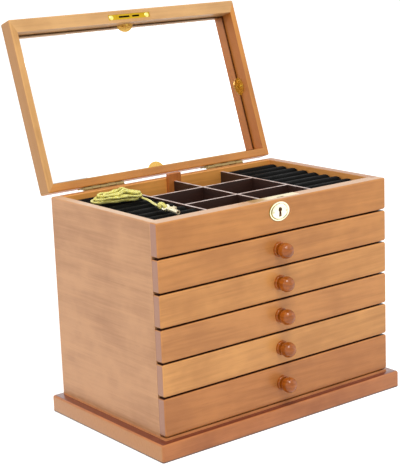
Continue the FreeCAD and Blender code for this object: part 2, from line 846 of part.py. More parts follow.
def hinge_screws(name, case):
    """Three countersunk screws through each leaf of the case or of the lid."""
    axis, face, way = hinge_frame(case)
    into_wood = Vector(0, -1, 0)
    row = f"({axis[1]} + {way} * hinge_screw_row)"
    screws = []
    for side, middle in HINGES.items():
        for index in SCREWS:
            place = (f"({middle} + {index} * screw_spread)", f"({face} + leaf_thick)", row)
            tag = f"{name}_{side}_{index + 1}"
            head = rod(tag + "_head", place, "screw_head", "leaf_thick", into_wood, tip="screw_shank")
            shank = rod(tag + "_shank", place, "screw_shank", "screw_length", into_wood)
            screws += [head, shank]
    return fuse(name, screws)


def lid_stop(name, x_span):
    """A tab on a case knuckle, on which the outer face of the open lid's leaf comes to rest."""
    leaf_face = f"({LID_BACK} + leaf_thick)"
    depth = (f"({leaf_face} + stop_gap)", f"({leaf_face} + stop_gap + stop_thick)")
    return box(name, x_span, depth, ("stop_near", "stop_far"))


def make_leaf(side, middle, case):
    owner = "case" if case else "lid"
    name = f"Leaf_{side}_{owner}"
    axis, face, way = hinge_frame(case)
    start, end = hinge_ends(middle)
    far = f"({axis[1]} + {way} * hinge_leaf)"
    reach = (far, axis[1]) if case else (axis[1], far)
    plate = box(name + "_plate", (start, end), (face, f"({face} + leaf_thick)"), reach)
    clear = "(knuckle_radius + knuckle_gap)"
    own = 0 if case else 1
    knuckles = []
    notches = []
    stops = []
    for index in range(KNUCKLES):
        low = f"({start} + {index} * hinge_length / {KNUCKLES})"
        high = f"({start} + {index + 1} * hinge_length / {KNUCKLES})"
        if index % 2 == own:
            inner = (f"({low} + knuckle_gap / 2)", f"({high} - knuckle_gap / 2)")
            length = f"(hinge_length / {KNUCKLES} - knuckle_gap)"
            place = (inner[0], *axis)
            knuckles.append(rod(f"{name}_knuckle{index}", place, "knuckle_radius", length, Vector(1, 0, 0)))
            if case:
                stops.append(lid_stop(f"{name}_stop{index}", inner))
        else:
            height = (f"({axis[1]} - {clear})", f"({axis[1]} + {clear})")
            notches.append(box(f"{name}_notch{index}", (low, high), (face, axis[0]), height))
    pieces = [cut(name + "_trimmed", plate, notches), *knuckles]
    if case:
        pieces.append(turn_open(fuse(name + "_stops", stops)))
    bore = "pin_radius" if case else "(pin_radius + pin_clearance)"
    hole = rod(name + "_bore", (start, *axis), bore, "hinge_length", Vector(1, 0, 0))
    holes = [hole, hinge_screws(name + "_holes", case)]
    keep(f"hinge_{side}_{owner}_leaf", cut(name, fuse(name + "_whole", pieces), holes), in_lid=not case)


def make_hinges():
    pins = []
    for side, middle in HINGES.items():
        make_leaf(side, middle, case=True)
        make_leaf(side, middle, case=False)
        place = (hinge_ends(middle)[0], HINGE_Y, HINGE_Z)
        pins.append(rod(f"Pin_{side}", place, "pin_radius", "hinge_length", Vector(1, 0, 0)))
    keep("hinge_pins", fuse("HingePins", pins))
    keep("hinge_case_screws", hinge_screws("CaseScrews", case=True))
    keep("hinge_lid_screws", hinge_screws("LidScrews", case=False), in_lid=True)


# Lid: a mitred frame with a bevelled board on it and a mirror inside


STRIKE_Y = f"({HOOK_Y} - {HINGE_Y})"


def strike_slots():
    """The two slots of the strike plate, with the bridge that the hook catches between them."""
    bridge = "(lock_offset + strike_bridge_shift)"
    left = (f"({bridge} - strike_bridge / 2 - strike_left_slot)", f"({bridge} - strike_bridge / 2)")
    right = (f"({bridge} + strike_bridge / 2)", f"({bridge} + strike_bridge / 2 + strike_right_slot)")
    return left, right


def strike_span(half_width):
    return f"({STRIKE_Y} - {half_width})", f"({STRIKE_Y} + {half_width})"


def strike_ends():
    return "(strike_shift - strike_length / 2)", "(strike_shift + strike_length / 2)"


def strike_screws(name):
    screws = []
    under = f"({LID_FACE} + strike_recess)"
    for index, side in enumerate((-1, 1)):
        spot = f"(strike_shift + {side} * strike_screw)"
        head = rod(f"{name}_head{index}", (spot, STRIKE_Y, under), "strike_head", "strike_head_rise",
                   Vector(0, 0, -1), tip="(strike_head / 2)")
        shank = rod(f"{name}_shank{index}", (spot, STRIKE_Y, under), "screw_shank", "screw_length")
        screws += [head, shank]
    return fuse(name, screws)


def make_strike():
    under = f"({LID_FACE} + strike_recess)"
    height = (under, f"({under} + strike_thick)")
    plate = box("StrikePlate", strike_ends(), strike_span("strike_width / 2"), height)
    tools = [strike_screws("StrikeScrewHoles")]
    for index, span in enumerate(strike_slots()):
        tools.append(box(f"StrikeSlot{index}", span, strike_span("strike_slot / 2"), height))
    keep("strike_plate", cut("Strike", plate, tools), in_lid=True)
    keep("strike_screws", strike_screws("StrikeScrews"), in_lid=True)


def strike_room():
    """The recess of the strike plate and the pocket above it that the hook turns in."""
    seat_top = f"({LID_FACE} + strike_recess + strike_thick)"
    seat_height = (f"({LID_FACE} - {OVER})", seat_top)
    seat = box("StrikeSeat", strike_ends(), strike_span("strike_width / 2"), seat_height)
    left, right = strike_slots()
    top = f"({POST_Z} + hook_outer + hook_room - {HINGE_Z})"
    room_y = strike_span("(strike_width / 2 - hook_room_wall)")
    room = box("HookRoom", (left[0], right[1]), room_y, (seat_top, top))
    return [seat, room, strike_screws("StrikePilots")]


def make_lid_envelope():
    body = board("LidEnvelope", (LEFT, RIGHT), (LID_FRONT, LID_BACK), (LID_FACE, LID_TOP))
    round_edges(body, "board_round", lambda middle, direction: True)
    return body


def make_lid_frame():
    envelope = make_lid_envelope()
    outer = [(LEFT, LID_FRONT), (RIGHT, LID_FRONT), (RIGHT, LID_BACK), (LEFT, LID_BACK)]
    inner = rectangle((MIRROR_LEFT, MIRROR_RIGHT), (MIRROR_FRONT, MIRROR_BACK))
    nails = doc.addObject("Part::Feature", "NailPilots")
    nails.Shape = clip_set()[1]
    tools = {
        "lid_front_rail": [*strike_room(), nails],
        "lid_stile_right": [nails],
        "lid_rear_rail": [hinge_screws("RailPilots", case=False), nails],
        "lid_stile_left": [nails],
    }
    for index, (label, cuts) in enumerate(tools.items()):
        after = (index + 1) % 4
        blank = new_body(f"Mitred{index}")
        sketch = new_sketch(blank, "XY_Plane", LID_FACE)
        draw_outline(sketch, [outer[index], outer[after], inner[after], inner[index]])
        pad(blank, sketch, "lid_frame")
        rounded = common(f"Rounded{index}", blank, envelope)
        keep(label, cut(f"Rail{index}", rounded, cuts), in_lid=True)


def inset(span, amount):
    return f"({span[0]} + {amount})", f"({span[1]} - {amount})"


def make_lid_board():
    """The top board: a thin edge, then a wide bevel up to a flat field."""
    x_span = inset((LEFT, RIGHT), "lid_top_inset")
    y_span = inset((LID_FRONT, LID_BACK), "lid_top_inset")
    shoulder = f"({LID_TOP} + lid_top_edge)"
    body = board("LidBoard", x_span, y_span, (LID_TOP, shoulder))
    low = new_sketch(body, "XY_Plane", shoulder)
    draw_outline(low, rectangle(x_span, y_span))
    high = new_sketch(body, "XY_Plane", f"({LID_TOP} + lid_top_thick)")
    draw_outline(high, rectangle(inset(x_span, "lid_top_bevel"), inset(y_span, "lid_top_bevel")))
    bevel = body.newObject("PartDesign::AdditiveLoft", "Bevel")
    bevel.Profile = low
    bevel.Sections = [high]
    bevel.Ruled = True
    keep("lid_top_board", body, in_lid=True)


def make_mirror():
    x_span = inset((MIRROR_LEFT, MIRROR_RIGHT), "mirror_gap")
    y_span = inset((MIRROR_FRONT, MIRROR_BACK), "mirror_gap")
    keep("mirror", board("Mirror", x_span, y_span, (MIRROR_FACE, LID_TOP)), in_lid=True)


def rounded_flap(width, reach, thick, up):
    """A flap with an arched end: flat on the mirror, or upright on the rail."""
    half = width / 2
    line = Part.LineSegment(Vector(half, 0, 0), Vector(-half, 0, 0)).toShape()
    arc = Part.Arc(Vector(-half, 0, 0), Vector(0, reach, 0), Vector(half, 0, 0)).toShape()
    flap = Part.Face(Part.Wire([line, arc])).extrude(Vector(0, 0, -thick))
    if up:
        flap.rotate(Vector(), Vector(1, 0, 0), -90)
        flap.translate(Vector(0, thick, 0))
    return flap


def clip_set():
    """Four bent clips, each over the mirror's edge and nailed to the frame, and their nails."""
    thick = val("clip_thick")
    lip = rounded_flap(val("clip_width"), val("clip_lip"), thick, up=False)
    leg = rounded_flap(val("clip_width"), val("clip_leg"), thick, up=True)
    nail_spot = Vector(0, 0, -val("nail_drop"))
    radius = val("nail_radius")
    head = Part.makeCylinder(radius, 2 * thick, nail_spot, Vector(0, 1, 0))
    shank = Part.makeCylinder(radius / 2, val("nail_length"), nail_spot, Vector(0, -1, 0))
    nail = head.fuse(shank)
    clip = lip.fuse(leg).removeSplitter().cut(nail)
    side_y = val(f"{LID_BACK} - clip_side_reach")
    # Each clip's place and its turn in plan, in degrees
    places = [
        (Vector(val("clip_front_shift"), val(MIRROR_FRONT), 0), 0),
        (Vector(val(MIRROR_RIGHT), side_y, 0), 90),
        (Vector(0, val(MIRROR_BACK), 0), 180),
        (Vector(val(MIRROR_LEFT), side_y, 0), -90),
    ]
    clips = []
    nails = []
    for spot, turn in places:
        move = Placement(spot + Vector(0, 0, val(MIRROR_FACE)), Rotation(Vector(0, 0, 1), turn))
        for shape, group in ((clip, clips), (nail, nails)):
            copy = shape.copy()
            copy.Placement = move
            group.append(copy)
    return Part.makeCompound(clips), Part.makeCompound(nails)


def make_clips():
    for label, shape in zip(("mirror_clips", "clip_nails"), clip_set()):
        thing = doc.addObject("Part::Feature", label + "_shape")
        thing.Shape = shape
        keep(label, thing, in_lid=True)


# Key and its cord, laid on the left ring rolls


def on_rolls(right, back, up):
    """A place over the left ring pad: right of the tray's wall, back of the middle, above the rim."""
    return Vector(val(TRAY_LEFT) + right, back, val(RIM) + up)


# The middle of the key's bow, and how the key lies: turned in plan, dipped and rolled, in degrees
BOW_SPOT = on_rolls(39.6, -46.9, 1.1)
KEY_TURN = -95.0
KEY_DIP = 3.0
KEY_ROLL = -60.0


def key_rotation():
    turn = Rotation(Vector(0, 0, 1), KEY_TURN)
    dip = Rotation(Vector(0, 1, 0), KEY_DIP)
    roll = Rotation(Vector(1, 0, 0), KEY_ROLL)
    return turn.multiply(dip).multiply(roll)


def make_key():
    """A small key with a hollow barrel; its own X axis runs from the bow to the tip."""
    body = new_body("Key")
    sketch = new_sketch(body, "XZ_Plane")
    collar_end = "(key_bow + 2 * key_collar)"
    bore_start = "(key_reach - key_bore_depth)"
    draw_outline(sketch, [
        ("key_bow", "0"),
        ("key_bow", "(key_barrel - key_bow_wire / 2)"),
        (f"({collar_end} - key_bow_wire)", "(key_barrel - key_bow_wire / 2)"),
        (f"({collar_end} - key_bow_wire)", "key_collar"),
        (collar_end, "key_collar"),
        (collar_end, "key_barrel"),
        ("key_reach", "key_barrel"),
        ("key_reach", "key_bore"),
        (bore_start, "key_bore"),
        (bore_start, "0"),
    ])
    revolve(body, sketch, "H_Axis")
    bow = body.newObject("PartDesign::AdditiveTorus", "Bow")
    bow.setExpression("Radius1", ex("key_bow"))
    bow.setExpression("Radius2", ex("key_bow_wire"))
    bow.Placement = Placement(Vector(), Rotation(Vector(1, 0, 0), 90))
    bit = new_sketch(body, "XZ_Plane")
    bit_end = "(key_reach - key_bit_back)"
    bit_start = f"({bit_end} - key_bit_length)"
    draw_outline(bit, rectangle((bit_start, bit_end), ("(key_barrel - key_bit_root)", "key_bit_height")))
    pad(body, bit, "key_bit_thick", midplane=True)
    notch = new_sketch(body, "XZ_Plane", "-key_bit_thick")
    middle = f"(({bit_start} + {bit_end}) / 2)"
    notch_x = (f"({middle} - key_bow_wire / 2)", f"({middle} + key_bow_wire / 2)")
    notch_height = ("(key_bit_height - key_bow_wire)", f"(key_bit_height + {OVER})")
    draw_outline(notch, rectangle(notch_x, notch_height))
    pocket(body, notch, "2 * key_bit_thick", reverse=True)
    body.Placement = Placement(BOW_SPOT, key_rotation())
    keep("key", body)


# Where the cord leaves the hank, how the hank is turned there in plan, in degrees, and
# the cord's way on to the knot at the key's bow
HANK_END = on_rolls(59.1, 23.6, -1.4)
HANK_TURN = -20.0
CORD_LEAD = Rotation(Vector(0, 0, 1), HANK_TURN).multVec(Vector(0, -val("cord_lead"), 0))
CORD_ROUTE = [
    HANK_END,
    HANK_END + CORD_LEAD,
    on_rolls(57.0, 9.0, -1.4),
    on_rolls(48.6, -13.4, -1.4),
    on_rolls(41.3, -30.1, 0.0),
    on_rolls(40.4, -37.5, 1.6),
]


def tangent_path(points):
    """Straight runs joined by arcs, each arc as large as its two runs allow."""
    edges = []
    radii = []
    start = points[0]
    for before, corner, after in zip(points, points[1:], points[2:]):
        back = (before - corner).normalize()
        ahead = (after - corner).normalize()
        turn = math.pi - back.getAngle(ahead)
        reach = 0.45 * min((before - corner).Length, (after - corner).Length)
        radius = reach / math.tan(turn / 2)
        middle_way = (back + ahead).normalize()
        middle = corner + middle_way * (radius / math.cos(turn / 2) - radius)
        edges.append(Part.LineSegment(start, corner + back * reach).toShape())
        edges.append(Part.Arc(corner + back * reach, middle, corner + ahead * reach).toShape())
        start = corner + ahead * reach
        radii.append(round(radius, 1))
    edges.append(Part.LineSegment(start, points[-1]).toShape())
    return edges, radii


def tube(edges, radius):
    """A round tube swept along joined edges."""
    path = Part.Wire(edges)
    first = edges[0]
    start = first.valueAt(first.FirstParameter)
    along = first.tangentAt(first.FirstParameter)
    ring = Part.Wire([Part.makeCircle(radius, start, along)])
    return path.makePipeShell([ring], True, False)


def hank_path(start, thick):
    """Long loops that spiral in, climb a layer along a run, spiral out, climb and spiral in again."""
    step = val("cord_step")
    run = val("hank_run")
    radius = val("hank_turn")
    right = start.x - radius
    left = right - run
    middle = start.y + thick
    z = start.z
    lowest = Vector(start.x, middle, z)
    edges = [Part.LineSegment(start, lowest).toShape()]
    corner = math.sqrt(0.5) * radius
    turned = Vector(right, middle + radius, z)
    edges.append(Part.Arc(lowest, Vector(right + corner, middle + corner, z), turned).toShape())
    y = middle + radius
    inward = [radius - step * (0.5 + 0.5 * turn) for turn in range(4)]
    outward = [size + 0.25 * step for size in reversed(inward)]
    for layer, turns in enumerate((inward, outward, inward)):
        for index, size in enumerate(turns):
            if layer and index == 0:
                edges += climb(Vector(right, y, z), Vector(left, y, z + step))
                z += step
            elif index % 2 == 0:
                edges.append(Part.LineSegment(Vector(right, y, z), Vector(left, y, z)).toShape())
            else:
                edges.append(Part.LineSegment(Vector(left, y, z), Vector(right, y, z)).toShape())
            end_x, way = (left, -1) if index % 2 == 0 else (right, 1)
            far_y = y + way * 2 * size
            top = Vector(end_x + way * size, y + way * size, z)
            edges.append(Part.Arc(Vector(end_x, y, z), top, Vector(end_x, far_y, z)).toShape())
            y = far_y
    edges.append(Part.LineSegment(Vector(right, y, z), Vector(right - run / 2, y, z)).toShape())
    for edge in edges:
        edge.rotate(start, Vector(0, 0, 1), HANK_TURN)
    return edges


def climb(start, end):
    """Two equal arcs that rise from one level run to the next."""
    length = abs(end.x - start.x)
    rise = end.z - start.z
    way = math.copysign(1, end.x - start.x)
    radius = (length ** 2 + rise ** 2) / (4 * rise)
    half_turn = math.atan2(rise, length)
    middle = (start + end) / 2
    low = start + Vector(way * radius * math.sin(half_turn), 0, radius * (1 - math.cos(half_turn)))
    high = end - Vector(way * radius * math.sin(half_turn), 0, radius * (1 - math.cos(half_turn)))
    return [Part.Arc(start, low, middle).toShape(), Part.Arc(middle, high, end).toShape()]


def least_gap(edges, thick):
    """The least distance between the tube and itself, measured on points along its middle."""
    points = []
    lengths = []
    total = 0.0
    for edge in edges:
        count = max(2, int(edge.Length / 0.5))
        for index in range(count):
            points.append(edge.valueAt(edge.getParameterByLength(edge.Length * index / count)))
            lengths.append(total + edge.Length * index / count)
        total += edge.Length
    least = math.inf
    for index, point in enumerate(points):
        for other in range(index + 1, len(points)):
            if lengths[other] - lengths[index] > 3 * thick:
                least = min(least, point.distanceToPoint(points[other]))
    return least - thick


def make_cord():
    thick = val("cord_thick")
    hank_edges = hank_path(CORD_ROUTE[0], thick)
    hank = doc.addObject("Part::Feature", "Hank")
    hank.Shape = tube(hank_edges, thick / 2)
    keep("cord_hank", hank)
    print("hank's least gap to itself", round(least_gap(hank_edges, thick), 2))

    edges, radii = tangent_path(CORD_ROUTE)
    strand = tube(edges, thick / 2)
    length = sum(edge.Length for edge in edges)
    section = math.pi * (thick / 2) ** 2
    share = strand.Volume / (section * length)
    print("cord radii", radii, "volume over section times length", round(share, 4))
    rotation = key_rotation()
    back = rotation.multVec(Vector(-1, 0, 0))
    ring_radius = val("loop_radius")
    loop_middle = BOW_SPOT + back * val("key_bow")
    side = rotation.multVec(Vector(0, 0, 1))
    loop = Part.makeTorus(ring_radius, thick / 2, loop_middle, side)
    knot = Part.makeSphere(val("knot_radius"), loop_middle + back * (ring_radius + thick / 2))
    cord = doc.addObject("Part::Feature", "Strand")
    cord.Shape = strand.fuse([loop, knot])
    keep("cord_strand", cord)


make_plinth()
make_case()
make_dust_panels()
for drawer in range(DRAWERS):
    make_drawer(drawer)
make_dividers()
make_ring_pad("left", (TRAY_LEFT, f"(-divider_side - {DIVIDER_HALF})"))
make_ring_pad("right", (f"(divider_side + {DIVIDER_HALF})", TRAY_RIGHT))
make_lock()
make_hook()
make_escutcheon()
make_hinges()
make_lid_frame()
make_lid_board()
make_mirror()
make_clips()
make_strike()
make_key()
make_cord()
doc.recompute()

for thing in doc.Objects:
    if "Invalid" in thing.State or "Error" in thing.State:
        raise ValueError(f"{thing.Name} did not build: {thing.State}")
os.makedirs("parts", exist_ok=True)
for label, thing in parts.items():
    shape = thing.Shape
    if shape.isNull() or not shape.isValid() or shape.Volume <= 0:
        raise ValueError(f"{label} has no valid shape")
    shape.exportStep(f"parts/{label}.step")
print(len(parts), "sub-parts")
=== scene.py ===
import json
import math
import random

import bmesh
import bpy
from mathutils import Matrix, Vector


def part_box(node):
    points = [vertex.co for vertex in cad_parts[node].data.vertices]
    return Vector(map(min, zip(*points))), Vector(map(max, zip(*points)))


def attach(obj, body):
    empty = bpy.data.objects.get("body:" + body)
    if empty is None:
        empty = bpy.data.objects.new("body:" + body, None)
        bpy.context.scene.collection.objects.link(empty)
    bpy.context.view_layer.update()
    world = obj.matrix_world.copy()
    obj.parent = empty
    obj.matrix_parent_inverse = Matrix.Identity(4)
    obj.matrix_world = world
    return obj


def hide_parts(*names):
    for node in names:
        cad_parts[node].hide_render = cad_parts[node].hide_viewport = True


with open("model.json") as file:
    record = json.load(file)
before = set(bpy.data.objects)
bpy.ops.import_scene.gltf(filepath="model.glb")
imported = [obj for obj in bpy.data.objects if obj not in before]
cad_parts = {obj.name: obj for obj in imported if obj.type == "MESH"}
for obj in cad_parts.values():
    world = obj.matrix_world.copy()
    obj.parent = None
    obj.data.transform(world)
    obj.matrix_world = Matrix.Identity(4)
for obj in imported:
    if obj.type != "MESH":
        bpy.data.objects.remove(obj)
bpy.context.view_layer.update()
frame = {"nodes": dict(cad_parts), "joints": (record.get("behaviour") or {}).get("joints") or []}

nodes = frame["nodes"]
scene = bpy.context.scene
MM = 0.001

# The lid stands open at rest. Turning by OPEN about the hinge line closes it.
hinge = next(joint for joint in frame["joints"] if joint["name"] == "lid_hinge")
HINGE_LINE = Vector(hinge["pos_m"])
OPEN = math.radians(hinge["range_deg"][1])
LID_OPEN = Matrix.Rotation(-OPEN, 4, "X")
LID_PLACE = Matrix.Translation(HINGE_LINE) @ LID_OPEN


# Finishes


class Wire:
    """A socket of a finish. Plain arithmetic on it adds the Math nodes."""

    def __init__(self, finish, socket):
        self.finish = finish
        self.socket = socket

    def of(self, output):
        """Another output of the node that this socket is on."""
        return Wire(self.finish, self.socket.node.outputs[output])

    def maths(self, operation, first, second=0.0):
        return self.finish.node("Math", {"operation": operation}, {0: first, 1: second})

    def __add__(self, other):
        return self.maths("ADD", self, other)

    def __sub__(self, other):
        return self.maths("SUBTRACT", self, other)

    def __rsub__(self, other):
        return self.maths("SUBTRACT", other, self)

    def __mul__(self, other):
        return self.maths("MULTIPLY", self, other)

    def __pow__(self, other):
        return self.maths("POWER", self, other)

    def __abs__(self):
        return self.maths("ABSOLUTE", self)


class Finish:
    """A material in the making, round its surface shader."""

    def __init__(self, name):
        self.material = bpy.data.materials.new(name)
        self.material.use_nodes = True
        self.tree = self.material.node_tree
        self.shader = self.tree.nodes["Principled BSDF"]

    def fill(self, node, sockets):
        for key, value in sockets.items():
            if isinstance(value, Wire):
                self.tree.links.new(value.socket, node.inputs[key])
            else:
                node.inputs[key].default_value = value

    def node(self, kind, settings=None, sockets=None, output=0):
        """A new node: its settings first, then the values or wires of its sockets."""
        node = self.tree.nodes.new("ShaderNode" + kind)
        for key, value in (settings or {}).items():
            setattr(node, key, value)
        self.fill(node, sockets or {})
        return Wire(self, node.outputs[output])

    def surface(self, **sockets):
        """Set the shader: an underscore in a name stands for a space."""
        self.fill(self.shader, {key.replace("_", " "): value for key, value in sockets.items()})
        return self.material

    def place(self):
        return self.node("TexCoord", output="Object")

    def pack(self, x, y, z):
        return self.node("CombineXYZ", None, {"X": x, "Y": y, "Z": z})

    def noise(self, vector, scale, detail, roughness=0.5):
        sockets = {"Vector": vector, "Scale": scale, "Detail": detail, "Roughness": roughness}
        return self.node("TexNoise", None, sockets)

    def mix(self, first, second, share):
        settings = {"data_type": "RGBA", "blend_type": "MIX", "clamp_factor": True}
        return self.node("Mix", settings, {0: share, 6: first, 7: second}, output=2)

    def smooth(self, value, low, high):
        """0 below low and 1 above high, with a soft step between."""
        sockets = {"Value": value, "From Min": low, "From Max": high}
        return self.node("MapRange", {"interpolation_type": "SMOOTHSTEP"}, sockets)

    def bump(self, height, distance, strength):
        sockets = {"Height": height, "Distance": distance, "Strength": strength}
        return self.node("Bump", None, sockets)


def tint(red, green, blue):
    """A screen colour, 0 to 255, as the shader's linear colour."""
    shares = [value / 255 for value in (red, green, blue)]
    return (*[s / 12.92 if s <= 0.04045 else ((s + 0.055) / 1.055) ** 2.4 for s in shares], 1.0)


def corners(node, in_lid):
    """A board's lowest and highest corner, for a lid board with the lid closed."""
    back = LID_OPEN.inverted() if in_lid else Matrix.Identity(4)
    spots = [back @ vertex.co for vertex in nodes[node].data.vertices]
    low = [min(spot[axis] for spot in spots) for axis in range(3)]
    high = [max(spot[axis] for spot in spots) for axis in range(3)]
    return low, high


def edge_reach(axes, low, high):
    """How far a point on a board's face is from the face's nearest edge."""
    gaps = [(b - a) / 2 - abs(wire - (a + b) / 2) for wire, a, b in zip(axes, low, high)]
    total = gaps[0] + gaps[1] + gaps[2]
    least = gaps[0].maths("MINIMUM", gaps[0].maths("MINIMUM", gaps[0], gaps[1]), gaps[2])
    most = gaps[0].maths("MAXIMUM", gaps[0].maths("MAXIMUM", gaps[0], gaps[1]), gaps[2])
    return total - least - most


# The three axes of a board, from the one its grain runs along
GRAIN_ORDER = {"X": "XYZ", "Y": "YXZ", "Z": "ZXY"}

# The lock's middle, the height of its drill pin, and how far the keyhole goes down from there
LOCK_X = 1.5 * MM
PIN_HEIGHT = 238.5 * MM
KEYHOLE_DROP = 7.7 * MM

# Painted shade on the edge faces in the gaps between drawer fronts: how far in it starts and is full
GAP_SHADE = tint(62, 20, 10)
GAP_SHADE_START, GAP_SHADE_FULL = 0.7 * MM, 1.6 * MM
# A drawer front gets darker towards its lower edge: where this is full and where it ends
LOWER_DARK_FULL, LOWER_DARK_END = 0.8 * MM, 5.0 * MM
# Painted shade inside the keyhole: its drop below the pin, and where it is full and where it ends
KEYHOLE_SHADE_DROP = 3.5 * MM
KEYHOLE_SHADE, KEYHOLE_SHADE_END = 8.5 * MM, 9.0 * MM

# Painted shade in the recess for the strike plate: how far it is in from the rail's three faces and
# from its middle
RECESS_SHADE_TONE = tint(28, 16, 8)
RECESS_ABOVE, RECESS_BEHIND, RECESS_BEFORE = 1.0 * MM, 2.0 * MM, 1.2 * MM
RECESS_STEP = 0.6 * MM
RECESS_HALF = 23.0 * MM

# Painted contact shadow where the plinth stands on the floor, and the band at a board's edges
# lightened for wear and painted highlight
CONTACT_SHADOW_TONE = tint(84, 62, 52)
CONTACT_FULL, CONTACT_END = 1.0 * MM, 2.6 * MM
EDGE_WEAR_LIGHT_FULL, EDGE_WEAR_LIGHT_END = 0.6 * MM, 2.2 * MM


def gap_shaded(f, colour, dark, axes, low, upward, dark_edges):
    """A drawer front's colour with painted shade on its edge faces in the gaps and inside the
    keyhole, and darker towards its lower edge.
    """
    # Darker towards the lower edge
    lower_darkening = 1.0 - f.smooth(axes[2], low[2] + LOWER_DARK_FULL, low[2] + LOWER_DARK_END)
    colour = f.mix(colour, dark, lower_darkening * 0.3)
    # Painted shade on edge faces that face a gap, and on the keyhole's walls, behind the front face
    level = abs(upward) if dark_edges == "both" else upward * -1.0
    level = f.smooth(level, 0.6, 0.9)
    from_keyhole = abs(axes[0] - LOCK_X) + abs(axes[2] - PIN_HEIGHT + KEYHOLE_SHADE_DROP)
    keyhole = f.smooth(from_keyhole, KEYHOLE_SHADE_END, KEYHOLE_SHADE)
    behind = f.smooth(axes[1], low[1] + GAP_SHADE_START, low[1] + GAP_SHADE_FULL)
    return f.mix(colour, GAP_SHADE, level.maths("MAXIMUM", level, keyhole) * behind)


def recess_shade(f, axes, low, high):
    """1 inside the lid rail's recess for the strike plate, and 0 on the rail's faces."""
    floor, front, rear = low[2] + RECESS_ABOVE, low[1] + RECESS_BEHIND, high[1] - RECESS_BEFORE
    above = f.smooth(axes[2], floor, floor + RECESS_STEP)
    behind = f.smooth(axes[1], front, front + RECESS_STEP)
    before = f.smooth(axes[1], rear, rear - RECESS_STEP)
    beside = f.smooth(abs(axes[0] - LOCK_X), RECESS_HALF + MM, RECESS_HALF)
    return above * behind * before * beside


